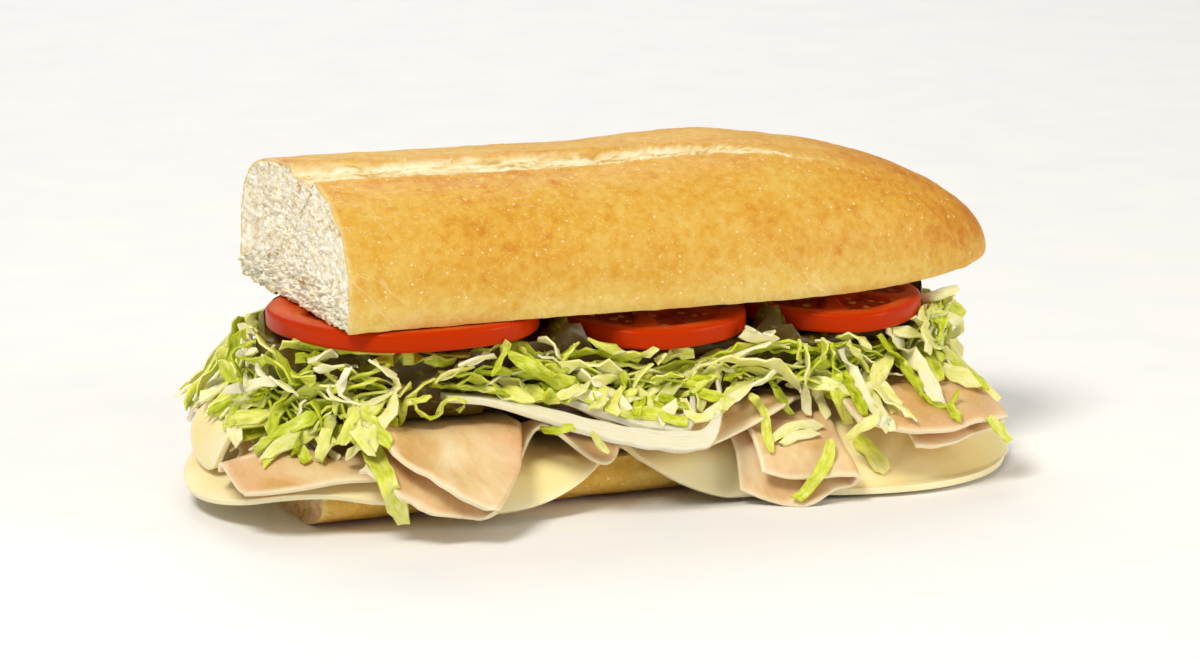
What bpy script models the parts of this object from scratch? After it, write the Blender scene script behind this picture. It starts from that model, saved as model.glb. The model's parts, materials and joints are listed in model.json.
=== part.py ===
"""Submarine sandwich: half of a long roll, cut square at one end, filled in layers.

X runs along the roll from the cut end to the round heel, -Y is the front and Z is up, in metres.
The origin is the centre of the flat base of the lower half of the roll.

Provolone and turkey are thin slices that lie on the lower half and hang over its rim. A slice is laid out
flat in x and y, and bed_point bends it over the rim. Each kind of slice has its own range of lift above the
bed, so that the slices never cross.
"""

import math
import random

import bmesh
import bpy
from mathutils import Vector
from mathutils.bvhtree import BVHTree

# The lower half of the roll.
BASE_ENDS = (-0.0916, 0.090)
BASE_HALF_WIDTH = 0.0372
BED_HEIGHT = 0.0115
BASE_SQUARENESS = 3.2
BASE_FLATTENING = 0.0012
BASE_TOP_SHARE = 0.94

# The upper half of the roll, which sits a little further towards the heel and dips that way.
CROWN_LENGTH = 0.184
CROWN_SHIFT = 0.007
CROWN_HALF_WIDTH = 0.0385
CROWN_HEIGHTS = ((0.0, 0.0280), (0.15, 0.0280), (0.38, 0.0288), (0.66, 0.0332), (0.85, 0.0342))
CROWN_SQUARENESS = 2.5
CROWN_BACK_SQUARENESS = 3.2
CROWN_WIDEST_AT_CUT = 0.0535
CROWN_WIDEST_AT_HEEL = 0.0490
CROWN_TUCK_AT_CUT = 0.0052
CROWN_TUCK_AT_HEEL = 0.0029
CROWN_HOLLOW = 0.0068
HEEL_STARTS = 0.40
HEEL_ROUNDNESS = 2.4
UNDERSIDE_SHARE = 0.26

# The baker's slash along the top of the crown, a shallow band of torn crumb: where its two lips run, as
# (share of the crown's length, y).
SLASH_DEPTH = 0.0016
SLASH_FRONT = ((0.0, -0.0139), (0.28, -0.0149), (0.43, -0.0133), (0.765, -0.0170))
SLASH_BACK = ((0.0, 0.0011), (0.38, -0.0018), (0.765, -0.0170))
SLASH_FULL_WIDTH = 0.010

# The rim that the slices hang over.
RIM_CUT_END = -0.0918
RIM_HEEL_END = 0.090
RIM_HALF_WIDTH = 0.036
CUT_CORNER = 0.006
HEEL_CORNER = 0.033
HANG_RADIUS = 0.006
FLARE_REACH = 0.014
FRONT_HANG = ((-0.10, 28), (-0.075, 44), (-0.057, 57), (-0.026, 62), (0.008, 64), (0.036, 40), (0.06, 38))
BACK_HANG = ((-0.092, 46), (-0.030, 58), (0.030, 60), (0.070, 50))
CUT_END_HANG = 21
HEEL_HANG = 62

# Provolone, laid like roof tiles: where each slice lies, and the slice that it lies on.
CHEESE_THICKNESS = 0.0015
CHEESE_LIFT = 0.00035
CHEESE_STEP = 0.0019
CHEESE_OVERHANG = 0.0020
CHEESE_SAG = 0.0050
CHEESE_SLICES = {
    "cheese_1": {"centre": (-0.0745, -0.005), "radius": 0.0395, "under": None},
    "cheese_2": {"centre": (-0.050, -0.004), "radius": 0.0450, "under": "cheese_1"},
    "cheese_3": {"centre": (0.020, -0.007), "radius": 0.0450, "under": "cheese_2"},
    "cheese_4": {"centre": (0.054, -0.017), "radius": 0.0440, "under": "cheese_3"},
}

# Turkey, sliced thin and folded. A lane is a slice's lift, and how much more of it there is where it hangs.
TURKEY_THICKNESS = 0.0011
FOLD_RADIUS = 0.0013
FOLD_SPREAD = 0.0015
LANES = {"low": (0.0045, 0.0006), "high": (0.0090, 0.0026)}

# Onion, two arcs of a ring that lie between the turkey and the lettuce.
ONION_LIFT = 0.0133
ONION_FLARE = 0.0020
ONION_WIDTH = 0.0048
ONION_BOW = 0.0075
ONION_THICKNESS = 0.0017

# Tomato slices.
TOMATO_THICKNESS = 0.0050
TOMATO_RIM_ROUNDING = 0.0012
TOMATO_SIDES = 26

# Shredded lettuce: a core, and the shreds that stick out of it.
CORE_HALF_WIDTH = 0.0375
CORE_ENDS = (-0.098, 0.086)
CORE_SQUARENESS = 4.0
CORE_MIDDLE = 0.0335
SHRED_THICKNESS = 0.0009
SHRED_VIEW = math.radians(30)
SHRED_TRIES = ((0.0012, 1), (0.002, 1), (0.003, 1), (0.004, 1), (0.003, 0.8), (0.004, 0.6), (0.004, 0.4))
SHRED_LIFT = 0.0008
SHRED_FLOOR = 0.0016
FLOOR_CLEARANCE = 0.0011
SHRED_COUNT = 20
SHRED_SIDES = (180, 180, 215, 270, 270, 270, 270, 320, 0, 35, 90, 90, 90, 90, 145)
SEED = 11

# The shreds that show the most: the side they lie on, their place along it, height, way, length and width.
SHOWN_SHREDS = (
    (270, -0.082, 0.0340, -78, 0.036, 0.0070),
    (270, -0.077, 0.0385, -36, 0.010, 0.0050),
    (270, -0.071, 0.0370, -123, 0.022, 0.0050),
    (270, -0.095, 0.0300, -45, 0.017, 0.0032),
    (270, -0.084, 0.0390, -104, 0.020, 0.0045),
    (270, -0.051, 0.0350, -14, 0.035, 0.0048),
    (270, 0.030, 0.0330, -152, 0.026, 0.0048),
    (270, 0.016, 0.0330, -67, 0.025, 0.0040),
    (270, 0.034, 0.0340, -81, 0.018, 0.0045),
    (270, 0.040, 0.0340, -64, 0.019, 0.0060),
    (270, 0.044, 0.0340, -59, 0.027, 0.0055),
    (270, 0.046, 0.0300, -117, 0.038, 0.0048),
    (270, 0.036, 0.0320, -61, 0.037, 0.0046),
    (270, 0.054, 0.0260, -152, 0.032, 0.0040),
    (270, 0.059, 0.0355, -52, 0.018, 0.0050),
    (270, 0.064, 0.0345, -52, 0.020, 0.0062),
    (225, -0.045, 0.0360, -150, 0.030, 0.0050),
    (205, -0.003, 0.0320, -75, 0.034, 0.0055),
    (235, -0.054, 0.0340, -140, 0.024, 0.0045),
    (310, 0.0260, 0.0340, -60, 0.028, 0.0060),
    (310, 0.0320, 0.0310, -68, 0.034, 0.0045),
    (330, -0.0090, 0.0340, 35, 0.014, 0.0050),
)

# Colours as the eye sees them, and how rough each surface is.
LOOKS = {
    "crust": ("#E0A449", 0.55),
    "provolone": ("#F0DDA0", 0.40),
    "turkey": ("#E3BC94", 0.45),
    "onion": ("#F1EEDF", 0.30),
    "tomato": ("#B92D10", 0.25),
    "lettuce": ("#B4C447", 0.45),
}


def clear_scene():
    for obj in list(bpy.data.objects):
        bpy.data.objects.remove(obj)


def linear(value):
    return value / 12.92 if value <= 0.04045 else ((value + 0.055) / 1.055) ** 2.4


def make_material(name):
    colour, roughness = LOOKS[name]
    channels = [linear(int(colour[i : i + 2], 16) / 255) for i in (1, 3, 5)]
    material = bpy.data.materials.new(name)
    material.use_nodes = True
    shader = material.node_tree.nodes["Principled BSDF"]
    shader.inputs["Base Color"].default_value = (*channels, 1)
    shader.inputs["Roughness"].default_value = roughness
    shader.inputs["Metallic"].default_value = 0
    return material


def smooth(value):
    """Rises from 0 to 1 with level ends."""
    value = min(max(value, 0.0), 1.0)
    return value * value * (3 - 2 * value)


def between(value, start, end):
    return start + (end - start) * value


def between_stops(x, stops):
    """A value that runs smoothly from stop to stop. stops are (x, value) in order of x."""
    for (start, low), (end, high) in zip(stops, stops[1:]):
        if x < end:
            return between(smooth((x - start) / (end - start)), low, high)
    return stops[-1][1]


def bump(value, middle, width):
    return math.exp(-(((value - middle) / width) ** 2))


def signed_power(value, power):
    return math.copysign(abs(value) ** power, value)


def face_out(bm):
    bmesh.ops.recalc_face_normals(bm, faces=bm.faces)
    if bm.calc_volume(signed=True) < 0:
        bmesh.ops.reverse_faces(bm, faces=bm.faces)


def add_object(name, bm, material, closed=True):
    if closed:
        face_out(bm)
    mesh = bpy.data.meshes.new(name)
    bm.to_mesh(mesh)
    bm.free()
    mesh.materials.append(bpy.data.materials[material])
    mesh.shade_smooth()
    obj = bpy.data.objects.new(name, mesh)
    bpy.context.scene.collection.objects.link(obj)
    return obj


def loft(name, along, around, point, material):
    """A closed skin whose rings run round X. point(u, v) is a place: u along and v around, both 0 to 1."""
    bm = bmesh.new()
    bmesh.ops.create_grid(bm, x_segments=along, y_segments=around, size=0.5)
    for vert in bm.verts:
        vert.co = point(vert.co.x + 0.5, vert.co.y + 0.5)
    bmesh.ops.remove_doubles(bm, verts=bm.verts, dist=1e-6)
    bmesh.ops.holes_fill(bm, edges=bm.edges, sides=0)
    return add_object(name, bm, material)


def heel_taper(u, roundness):
    """How much of its full width the roll has at the share u of its length."""
    past = max(u - HEEL_STARTS, 0.0) / (1 - HEEL_STARTS)
    return max(1 - past**roundness, 0.0) ** 0.5


def base_point(u, v):
    """The lower half: a flat top, crust sides and a flat base."""
    u = 1 - (1 - u) ** 1.35
    x = between(u, *BASE_ENDS)
    half_width = BASE_HALF_WIDTH * heel_taper(u, HEEL_ROUNDNESS)
    top_share = 0.3
    if v < top_share:
        return Vector((x, BASE_TOP_SHARE * half_width * (1 - 2 * v / top_share), BED_HEIGHT))
    turn = math.pi * (v - top_share) / (1 - top_share)
    power = 2 / BASE_SQUARENESS
    y = -half_width * signed_power(math.cos(turn), power)
    drop = (BED_HEIGHT + BASE_FLATTENING) * heel_taper(u, 5.0)
    below = drop * math.sin(turn) ** power
    y *= between(smooth(below / 0.005), BASE_TOP_SHARE, 1.0)
    return Vector((x, y, max(BED_HEIGHT - below, 0.0)))


def crown_point(u, v):
    """The upper half: a hollowed underside, tucked crust sides, and a dome with the slash."""
    u = 1 - (1 - u) ** 1.35
    x = CROWN_SHIFT - CROWN_LENGTH / 2 + CROWN_LENGTH * u
    taper = heel_taper(u, HEEL_ROUNDNESS)
    half_width = CROWN_HALF_WIDTH * taper
    height = between_stops(u, CROWN_HEIGHTS) * heel_taper(u, 2.6) ** 1.2
    widest = between(smooth(u / 0.8), CROWN_WIDEST_AT_CUT, CROWN_WIDEST_AT_HEEL)
    lip = between(smooth(u / 0.6), CROWN_TUCK_AT_CUT, CROWN_TUCK_AT_HEEL)
    tuck = lip * heel_taper(u, 4.0)
    tuck_turn = 0.22
    tuck_half_width = half_width * math.cos(tuck_turn) ** (2 / CROWN_SQUARENESS)
    if v < UNDERSIDE_SHARE:
        across = 1 - 2 * v / UNDERSIDE_SHARE
        hollow = (CROWN_HOLLOW - CROWN_TUCK_AT_CUT + lip) * smooth(u / 0.12) * taper**2
        hollow *= 1 - abs(across) ** 2.5
        return Vector((x, tuck_half_width * across, widest - tuck + hollow))
    share = (v - UNDERSIDE_SHARE) / (1 - UNDERSIDE_SHARE)
    turn = -tuck_turn + (math.pi + 2 * tuck_turn) * share
    power = 2 / (CROWN_SQUARENESS if turn < math.pi / 2 else CROWN_BACK_SQUARENESS)
    y = -half_width * signed_power(math.cos(turn), power)
    if math.sin(turn) < 0:
        rise = -tuck * (math.sin(turn) / math.sin(-tuck_turn))
    else:
        rise = height * math.sin(turn) ** power
    return Vector((x, y, widest + rise - slash_depth(u, y)))


def slash_depth(u, y):
    """How far the slash is sunk into the dome at y."""
    front, back = between_stops(u, SLASH_FRONT), between_stops(u, SLASH_BACK)
    open_share = min((back - front) / SLASH_FULL_WIDTH, 1.0)
    inside = min(y - front, back - y)
    return SLASH_DEPTH * open_share * smooth(inside / 0.002 + 0.5)


def rim_distance(x, y):
    """How far x, y lies outside the rim, and the outward direction there."""
    middle = (RIM_CUT_END + RIM_HEEL_END) / 2
    half_length = (RIM_HEEL_END - RIM_CUT_END) / 2
    corner = HEEL_CORNER if x > middle else CUT_CORNER
    over_x = abs(x - middle) - half_length + corner
    over_y = abs(y) - RIM_HALF_WIDTH + corner
    outside = math.hypot(max(over_x, 0.0), max(over_y, 0.0))
    distance = outside + min(max(over_x, over_y), 0.0) - corner
    if outside == 0:
        return distance, Vector((0, 0, 0))
    sign_x = math.copysign(1, x - middle)
    sign_y = math.copysign(1, y)
    return distance, Vector((sign_x * max(over_x, 0.0), sign_y * max(over_y, 0.0), 0)) / outside


def hang_angle(x, outward):
    """How steeply a slice hangs at x on the side that faces outward."""
    side = between_stops(x, FRONT_HANG if outward.y < 0 else BACK_HANG)
    end = HEEL_HANG if outward.x > 0 else CUT_END_HANG
    return math.radians(side * outward.y**2 + end * outward.x**2)


def bed_point(x, y, lift):
    """Where the flat place x, y of a slice comes to lie, lift above the bed and square to it."""
    distance, outward = rim_distance(x, y)
    if distance <= 0 or outward.length == 0:
        return Vector((x, y, BED_HEIGHT + lift))
    full = hang_angle(x, outward)
    turned = min(distance / HANG_RADIUS, full)
    straight = max(distance - HANG_RADIUS * full, 0.0)
    reach = HANG_RADIUS * math.sin(turned) + straight * math.cos(full) + lift * math.sin(turned)
    drop = HANG_RADIUS * (1 - math.cos(turned)) + straight * math.sin(full) - lift * math.cos(turned)
    rim = Vector((x, y, 0)) - outward * distance
    return rim + outward * reach + Vector((0, 0, BED_HEIGHT - drop))


def flare(x, y):
    """How far the slices have opened up at x, y: 0 on the bed, 1 at the ends of what hangs."""
    return smooth(rim_distance(x, y)[0] / FLARE_REACH)


def slice_object(name, across, along, point, thickness, material, triangles):
    """A thin sheet with few triangles where it is flat. point(u, v) is its lower face, u and v -1 to 1."""
    bm = bmesh.new()
    bmesh.ops.create_grid(bm, x_segments=across, y_segments=along, size=1.0)
    for vert in bm.verts:
        vert.co = point(vert.co.x, vert.co.y)
    obj = add_object(name, bm, material, closed=False)
    solidify = obj.modifiers.new("thickness", "SOLIDIFY")
    solidify.thickness = thickness
    solidify.offset = 1.0
    solidify.use_even_offset = True
    thin_out(obj, triangles / (4 * (across * along + across + along)))
    return obj


def thin_out(obj, share):
    """Leaves this share of the triangles, most of them where the surface bends."""
    decimate = obj.modifiers.new("thinning", "DECIMATE")
    decimate.ratio = min(share, 1.0)


def disc_from_square(u, v):
    """Maps the square -1..1 onto a disc with even cells."""
    return u * math.sqrt(1 - v * v / 2), v * math.sqrt(1 - u * u / 2)


def cheese_lift(name, x, y):
    """The lift of a slice at x, y, which steps down off the edge of the slice under it."""
    under = CHEESE_SLICES[name]["under"]
    if not under:
        return CHEESE_LIFT
    middle = CHEESE_SLICES[under]["centre"]
    past = math.hypot(x - middle[0], y - middle[1]) - CHEESE_SLICES[under]["radius"] - CHEESE_OVERHANG
    return cheese_lift(under, x, y) + CHEESE_STEP * (1 - smooth(past / CHEESE_SAG))


def cheese(name):
    centre, radius = CHEESE_SLICES[name]["centre"], CHEESE_SLICES[name]["radius"]

    def point(u, v):
        across, along = disc_from_square(u, v)
        x = centre[0] + radius * across
        y = centre[1] + radius * along
        place = bed_point(x, y, cheese_lift(name, x, y))
        place.z = max(place.z, FLOOR_CLEARANCE)
        return place

    return slice_object(name, 28, 28, point, CHEESE_THICKNESS, "provolone", 470)


def lane_lift(lane, x, y):
    start, opening = LANES[lane]
    return start + opening * flare(x, y)


def folded_turkey(name, lane, crease, leaves, reach, beyond, peak, falling, lean):
    """A slice folded once over a crease that runs from front to back, and open at both its ends.

    crease is its x over the bed, and lean how far that moves for each metre that it hangs. leaves are the
    widths of the lower and the upper leaf. reach is how far they hang in front and behind: peak is how far
    from the crease they hang the most, and falling how far from there it is until they hardly hang. The
    lower leaf hangs further than the upper by up to beyond.
    """
    under, over = leaves

    def point(u, v):
        hang = reach[0] if v < 0 else reach[1]
        radius = FOLD_RADIUS + FOLD_SPREAD * flare(crease, abs(v) * (RIM_HALF_WIDTH + 0.7 * hang))
        arc = math.pi * radius
        run = (u + 1) / 2 * (under + arc + over)
        if run < under:
            offset, rise = run - under, 0.0
        elif run < under + arc:
            turn = (run - under) / radius
            offset, rise = radius * math.sin(turn), radius * (1 - math.cos(turn))
        else:
            offset, rise = -(run - under - arc), 2 * radius
        away = min(abs(offset + peak) / falling, 1.0)
        hang *= 1 - 0.85 * away**1.2
        hang += beyond * smooth((under - run) / 0.012)
        y = (RIM_HALF_WIDTH + hang) * v
        x = crease + offset - lean * max(abs(y) - RIM_HALF_WIDTH, 0.0)
        return bed_point(x, y, lane_lift(lane, x, y) + rise)

    return slice_object(name, 30, 26, point, TURKEY_THICKNESS, "turkey", 590)


def waved_turkey(name, lane, ends, reach, waves, roundness=0.35):
    """An open slice from ends[0] to ends[1] that hangs by reach[0] in front and reach[1] behind.

    Each wave is (x, width, lift, shortening, side): there the hanging edge stands up by lift and hangs less.
    """
    middle, half_width = (ends[0] + ends[1]) / 2, (ends[1] - ends[0]) / 2

    def point(u, v):
        side = -1 if v < 0 else 1
        x = middle + half_width * u
        waving = [wave for wave in waves if wave[4] == side]
        edge = RIM_HALF_WIDTH + (reach[0] if v < 0 else reach[1])
        edge -= sum(cut * bump(x, at, 2 * width) for at, width, _, cut, _ in waving)
        y = edge * v * math.sqrt(1 - roundness * u**4)
        lifted = sum(rise * bump(x, at, width) for at, width, rise, _, _ in waving)
        return bed_point(x, y, lane_lift(lane, x, y) + lifted * smooth(abs(v) * 2.2 - 1.0))

    return slice_object(name, 26, 28, point, TURKEY_THICKNESS, "turkey", 590)


def crumpled_turkey(name, lane, ends, half_width, shortening, waves, height):
    """The slice that sticks out of the cut end. Its edge is in waves along Y, and shorter at the back."""

    def point(u, v):
        y = half_width * v * math.sqrt(1 - 0.35 * u**4)
        end = ends[0] + shortening * smooth((v + 0.5) / 0.3)
        x = between((u + 1) / 2, end, ends[1])
        rise = height * (0.5 - 0.5 * math.cos(math.tau * waves * (v + 1) / 2))
        return bed_point(x, y, lane_lift(lane, x, y) + rise * smooth((RIM_CUT_END - x + 0.006) / 0.014))

    return slice_object(name, 20, 40, point, TURKEY_THICKNESS, "turkey", 590)


def hanging_cheese(name, ends, top, drop, bulge):
    """Half a slice of provolone that hangs over the cut end outside the others. ends are its y."""
    bend = math.radians(105)

    def point(u, v):
        across, along = disc_from_square(u, v)
        turn = (1 - along) / 2 * bend
        y = between((across + 1) / 2, *ends)
        fallen = (1 - math.cos(turn)) / (1 - math.cos(bend))
        return Vector((top[0] - bulge * math.sin(turn), y, top[1] - drop * fallen))

    return slice_object(name, 10, 10, point, CHEESE_THICKNESS, "provolone", 240)


def onion_arc(name, ends, deepest, reach, rises):
    """Part of an onion ring, a band that bows out over the turkey.

    It reaches furthest over the rim at x = deepest. rises are its added lift at its two ends.
    """

    def point(u, v):
        x = between((u + 1) / 2, ends[0], ends[1])
        side = 0 if x < deepest else 1
        away = abs((x - deepest) / (ends[side] - deepest))
        y = -(RIM_HALF_WIDTH + reach - ONION_BOW * away**2)
        lift = ONION_LIFT + ONION_FLARE * flare(x, y) + rises[side] * away**1.5
        middle = bed_point(x, y, lift)
        across = (bed_point(x, y - 0.0002, lift) - middle).normalized()
        return middle - across * (ONION_WIDTH / 2 * v)

    return slice_object(name, 26, 3, point, ONION_THICKNESS, "onion", 200)


def tomato(name, centre, radius, height, dip_front, dip_right=0.0):
    """A slice with a rounded rim. height is that of its middle, and the dips are slopes towards -Y and +X."""
    bm = bmesh.new()
    bmesh.ops.create_cone(
        bm, cap_ends=True, segments=TOMATO_SIDES, radius1=radius, radius2=radius, depth=TOMATO_THICKNESS
    )
    rims = [e for e in bm.edges if abs(e.verts[0].co.z - e.verts[1].co.z) < 1e-6]
    bmesh.ops.bevel(
        bm, geom=rims, offset=TOMATO_RIM_ROUNDING, segments=2, profile=0.5, affect="EDGES", material=-1
    )
    for vert in bm.verts:
        lobes = 1 + 0.018 * math.cos(5 * math.atan2(vert.co.y, vert.co.x) + radius * 900)
        vert.co.x *= lobes
        vert.co.y *= lobes
        vert.co.z += height + dip_front * vert.co.y - dip_right * vert.co.x
        vert.co.x += centre[0]
        vert.co.y += centre[1]
    return add_object(name, bm, "tomato")


def core_point(u, v):
    """A lumpy heap, which is then fitted between what lies under and over it."""
    x = between(u, *CORE_ENDS)
    end = max(1 - abs(2 * u - 1) ** 7, 0.0) ** 0.5
    heel = smooth((0.092 - x) / 0.055)
    turn = math.tau * v
    power = 2 / CORE_SQUARENESS
    lumps = 0.0010 * math.sin(x * 420) * math.sin(turn * 3 + x * 150)
    y = (CORE_HALF_WIDTH * between(heel, 0.72, 1.0) + lumps) * end * signed_power(math.cos(turn), power)
    return Vector((x, y, CORE_MIDDLE + 0.016 * between(end, 0.5, 1.0) * signed_power(math.sin(turn), power)))


def fit_core(core, neighbours):
    """Pulls the heap's top and bottom in until it clears all that it meets."""
    verts = core.data.vertices
    for _ in range(60):
        bm = bmesh.new()
        bm.from_mesh(core.data)
        crossed = BVHTree.FromBMesh(bm).overlap(neighbours)
        bm.free()
        touched = {index for face, _ in crossed for index in core.data.polygons[face].vertices}
        if not touched:
            break
        for index in touched:
            verts[index].co.z = between(0.08, verts[index].co.z, CORE_MIDDLE)
    for vert in verts:
        vert.co.z = between(0.05, vert.co.z, CORE_MIDDLE)


def tree_of(objects):
    """One search tree over the finished shapes of these objects."""
    graph = bpy.context.evaluated_depsgraph_get()
    verts, faces = [], []
    for obj in objects:
        mesh = obj.evaluated_get(graph).to_mesh()
        mesh.calc_loop_triangles()
        offset = len(verts)
        verts += [v.co.copy() for v in mesh.vertices]
        faces += [[offset + i for i in triangle.vertices] for triangle in mesh.loop_triangles]
        obj.evaluated_get(graph).to_mesh_clear()
    return BVHTree.FromPolygons(verts, faces)


def traced(side, start, turn, length, width, tip, step_length, core, others, clearance):
    """The path of a shred down the side of the heap that faces the direction side, and the way it faces.

    start is (place along that side, height), and turn the way the shred runs from there, as seen from
    SHRED_VIEW above. It starts inside the core and lies on whatever it meets, and its end stands off by tip.
    """
    outward = Vector((math.cos(side), math.sin(side), 0))
    along = Vector((-outward.y, outward.x, 0))
    view = outward * math.cos(SHRED_VIEW) + Vector((0, 0, math.sin(SHRED_VIEW)))
    rising = view.cross(along)
    far = 0.16
    middle = along * start[0] + Vector((0, 0, start[1]))
    found, _, _, distance = core.ray_cast(middle + outward * far, -outward, far)
    if not found:
        return []
    root = middle + outward * (far - distance)
    way = along * math.cos(turn) + rising * math.sin(turn)
    across = view.cross(way) * (0.46 * width)
    steps = math.ceil(length / 0.0015)
    path, last = [(root - outward * 0.0028, outward)], 0.0
    for step in range(1, steps + 1):
        share = step / steps
        place = root + way * (length * share)
        inner = core.ray_cast(place + view * far, -view, 2 * far)
        outs = [far - inner[3] + SHRED_LIFT] if inner[0] else []
        for aside in (across, -across, 0 * across):
            outer = others.ray_cast(place + aside + view * far, -view, 2 * far)
            outs += [far - outer[3] + clearance] if outer[0] else []
        out = max([*outs, last - 0.0006]) + tip * (share**2 - ((step - 1) / steps) ** 2)
        last = out
        normal = (outer[1] if outer[0] and (not inner[0] or outer[3] < inner[3]) else inner[1]) or outward
        place = place + view * out
        place.z = max(place.z, SHRED_FLOOR)
        path.append((place, (normal + view).normalized()))
    return spaced(path, step_length)


def spaced(path, step_length):
    """A path again, with its points a step apart."""
    runs = [0.0]
    for (before, _), (after, _) in zip(path, path[1:]):
        runs.append(runs[-1] + (after - before).length)
    steps = max(round(runs[-1] / step_length), 3)
    places, index = [], 0
    for step in range(steps + 1):
        run = runs[-1] * step / steps
        while index < len(path) - 2 and runs[index + 1] < run:
            index += 1
        share = min((run - runs[index]) / max(runs[index + 1] - runs[index], 1e-9), 1.0)
        places.append([a.lerp(b, share) for a, b in zip(path[index], path[index + 1])])
    return places


def strip(path, width, twist):
    """A flat strip along a path, as a bmesh."""
    bm = bmesh.new()
    bmesh.ops.create_grid(bm, x_segments=len(path) - 1, y_segments=1, size=0.5)
    steps = len(path) - 1
    for vert in bm.verts:
        place = round((vert.co.x + 0.5) * steps)
        along = (path[min(place + 1, steps)][0] - path[max(place - 1, 0)][0]).normalized()
        across = along.cross(path[place][1]).normalized()
        turn = twist * (place / steps - 0.4)
        across = across * math.cos(turn) + along.cross(across) * math.sin(turn)
        narrowing = between(smooth(place / steps * 1.3 - 0.3), 1.0, 0.6)
        vert.co = path[place][0] + across * (math.copysign(0.5, vert.co.y) * width * narrowing)
    bmesh.ops.solidify(bm, geom=bm.faces, thickness=SHRED_THICKNESS)
    bmesh.ops.triangulate(bm, faces=bm.faces)
    face_out(bm)
    return bm


def wanted_shreds():
    """All the shreds: the ones that show the most, and others drawn at random all round the heap."""
    rng = random.Random(SEED)
    for side, place, height, turn, length, width in SHOWN_SHREDS:
        yield side, (place, height), turn, length, width, 0.2, 0.0, 0.0052
    for index in range(SHRED_COUNT):
        side = rng.choice(SHRED_SIDES)
        half = between(abs(math.sin(math.radians(side))), 0.030, 0.084)
        start = (rng.uniform(-half, half), rng.uniform(0.027, 0.040))
        turn, length = rng.uniform(-160, -5), rng.uniform(0.012, 0.032)
        width, twist, tip = rng.uniform(0.0032, 0.0062), rng.uniform(-0.9, 0.9), rng.uniform(0, 0.006)
        yield side, start, turn, length, width, twist, tip, 0.0070


def shreds_of(core, others):
    """Meshes of the shreds, moved out or shortened until none meets what lies around the heap."""
    found = []
    for side, start, turn, length, width, twist, tip, step_length in wanted_shreds():
        for clearance, share in SHRED_TRIES:
            way = math.radians(side), start, math.radians(turn), length * share, width, tip, step_length
            path = traced(*way, core, others, clearance)
            if not path:
                break
            bm = strip(path, width, twist)
            if not BVHTree.FromBMesh(bm).overlap(others):
                found.append(bm)
                break
            bm.free()
    return found


def lettuce(neighbours):
    """The heap: its core with the shreds that show, joined into one solid."""
    core = loft("lettuce", 22, 14, core_point, "lettuce")
    fit_core(core, neighbours)
    helpers = bpy.data.collections.new("shreds")
    bpy.context.scene.collection.children.link(helpers)
    for index, bm in enumerate(shreds_of(tree_of([core]), neighbours)):
        shred = add_object(f"shred_{index}", bm, "lettuce")
        bpy.context.scene.collection.objects.unlink(shred)
        helpers.objects.link(shred)
    join = core.modifiers.new("shreds", "BOOLEAN")
    join.operation = "UNION"
    join.operand_type = "COLLECTION"
    join.collection = helpers
    join.solver = "MANIFOLD"
    bpy.context.view_layer.update()
    joined = bpy.data.meshes.new_from_object(core.evaluated_get(bpy.context.evaluated_depsgraph_get()))
    core.modifiers.clear()
    core.data = joined
    for shred in list(helpers.objects):
        bpy.data.objects.remove(shred)
    bpy.data.collections.remove(helpers)
    keep_the_body(core)
    return core


def keep_the_body(obj):
    """Drops slivers and loose scraps and fills sealed hollows, which leaves the largest closed shell."""
    bm = bmesh.new()
    bm.from_mesh(obj.data)
    bmesh.ops.dissolve_degenerate(bm, edges=bm.edges, dist=1e-6)
    bmesh.ops.triangulate(bm, faces=bm.faces)
    left = set(bm.faces)
    shells = []
    while left:
        shell, edge = set(), [left.pop()]
        while edge:
            face = edge.pop()
            shell.add(face)
            whole = [side for side in face.edges if len(side.link_faces) == 2]
            beside = {other for side in whole for other in side.link_faces} & left
            left -= beside
            edge += beside
        shells.append(shell)
    largest = max(shells, key=len)
    bmesh.ops.delete(bm, geom=[f for shell in shells if shell is not largest for f in shell], context="FACES")
    bm.to_mesh(obj.data)
    bm.free()


clear_scene()
for look in LOOKS:
    make_material(look)

made = [
    loft("bread_bottom", 18, 18, base_point, "crust"),
    loft("bread_top", 22, 30, crown_point, "crust"),
]
made += [cheese(slice_name) for slice_name in CHEESE_SLICES]
made.append(hanging_cheese("cheese_5", (-0.010, 0.014), (-0.0975, 0.0248), 0.0158, 0.0105))
made += [
    crumpled_turkey("turkey_1", "low", (-0.109, -0.066), 0.0405, 0.009, 3, 0.0040),
    folded_turkey("turkey_2", "high", -0.042, (0.038, 0.042), (0.0180, 0.0110), 0.0035, 0.0, 0.036, 1.05),
    waved_turkey("turkey_3", "low", (-0.064, -0.016), (0.0105, 0.0120), [
        (-0.036, 0.006, 0.0048, 0.0100, -1),
        (-0.045, 0.010, 0.0015, 0.0060, 1),
        (-0.024, 0.007, 0.0012, 0.0, 1),
    ]),
    waved_turkey("turkey_4", "high", (-0.027, 0.036), (0.0065, 0.0130), [
        (-0.029, 0.007, 0.0045, 0.0040, -1),
        (0.024, 0.010, 0.0015, 0.0030, -1),
        (0.004, 0.012, 0.0040, 0.0050, 1),
    ]),
    folded_turkey("turkey_5", "low", 0.038, (0.026, 0.022), (0.0210, 0.0110), 0.0050, 0.0, 0.034, 0.10),
    folded_turkey("turkey_6", "high", 0.076, (0.022, 0.036), (0.0160, 0.0110), 0.0010, 0.018, 0.028, 0.0),
]
made += [
    onion_arc("onion_1", (-0.060, 0.012), -0.001, 0.0055, (0.0045, 0.0050)),
    onion_arc("onion_2", (-0.044, 0.006), -0.004, 0.0040, (0.0045, 0.0050)),
]
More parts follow.
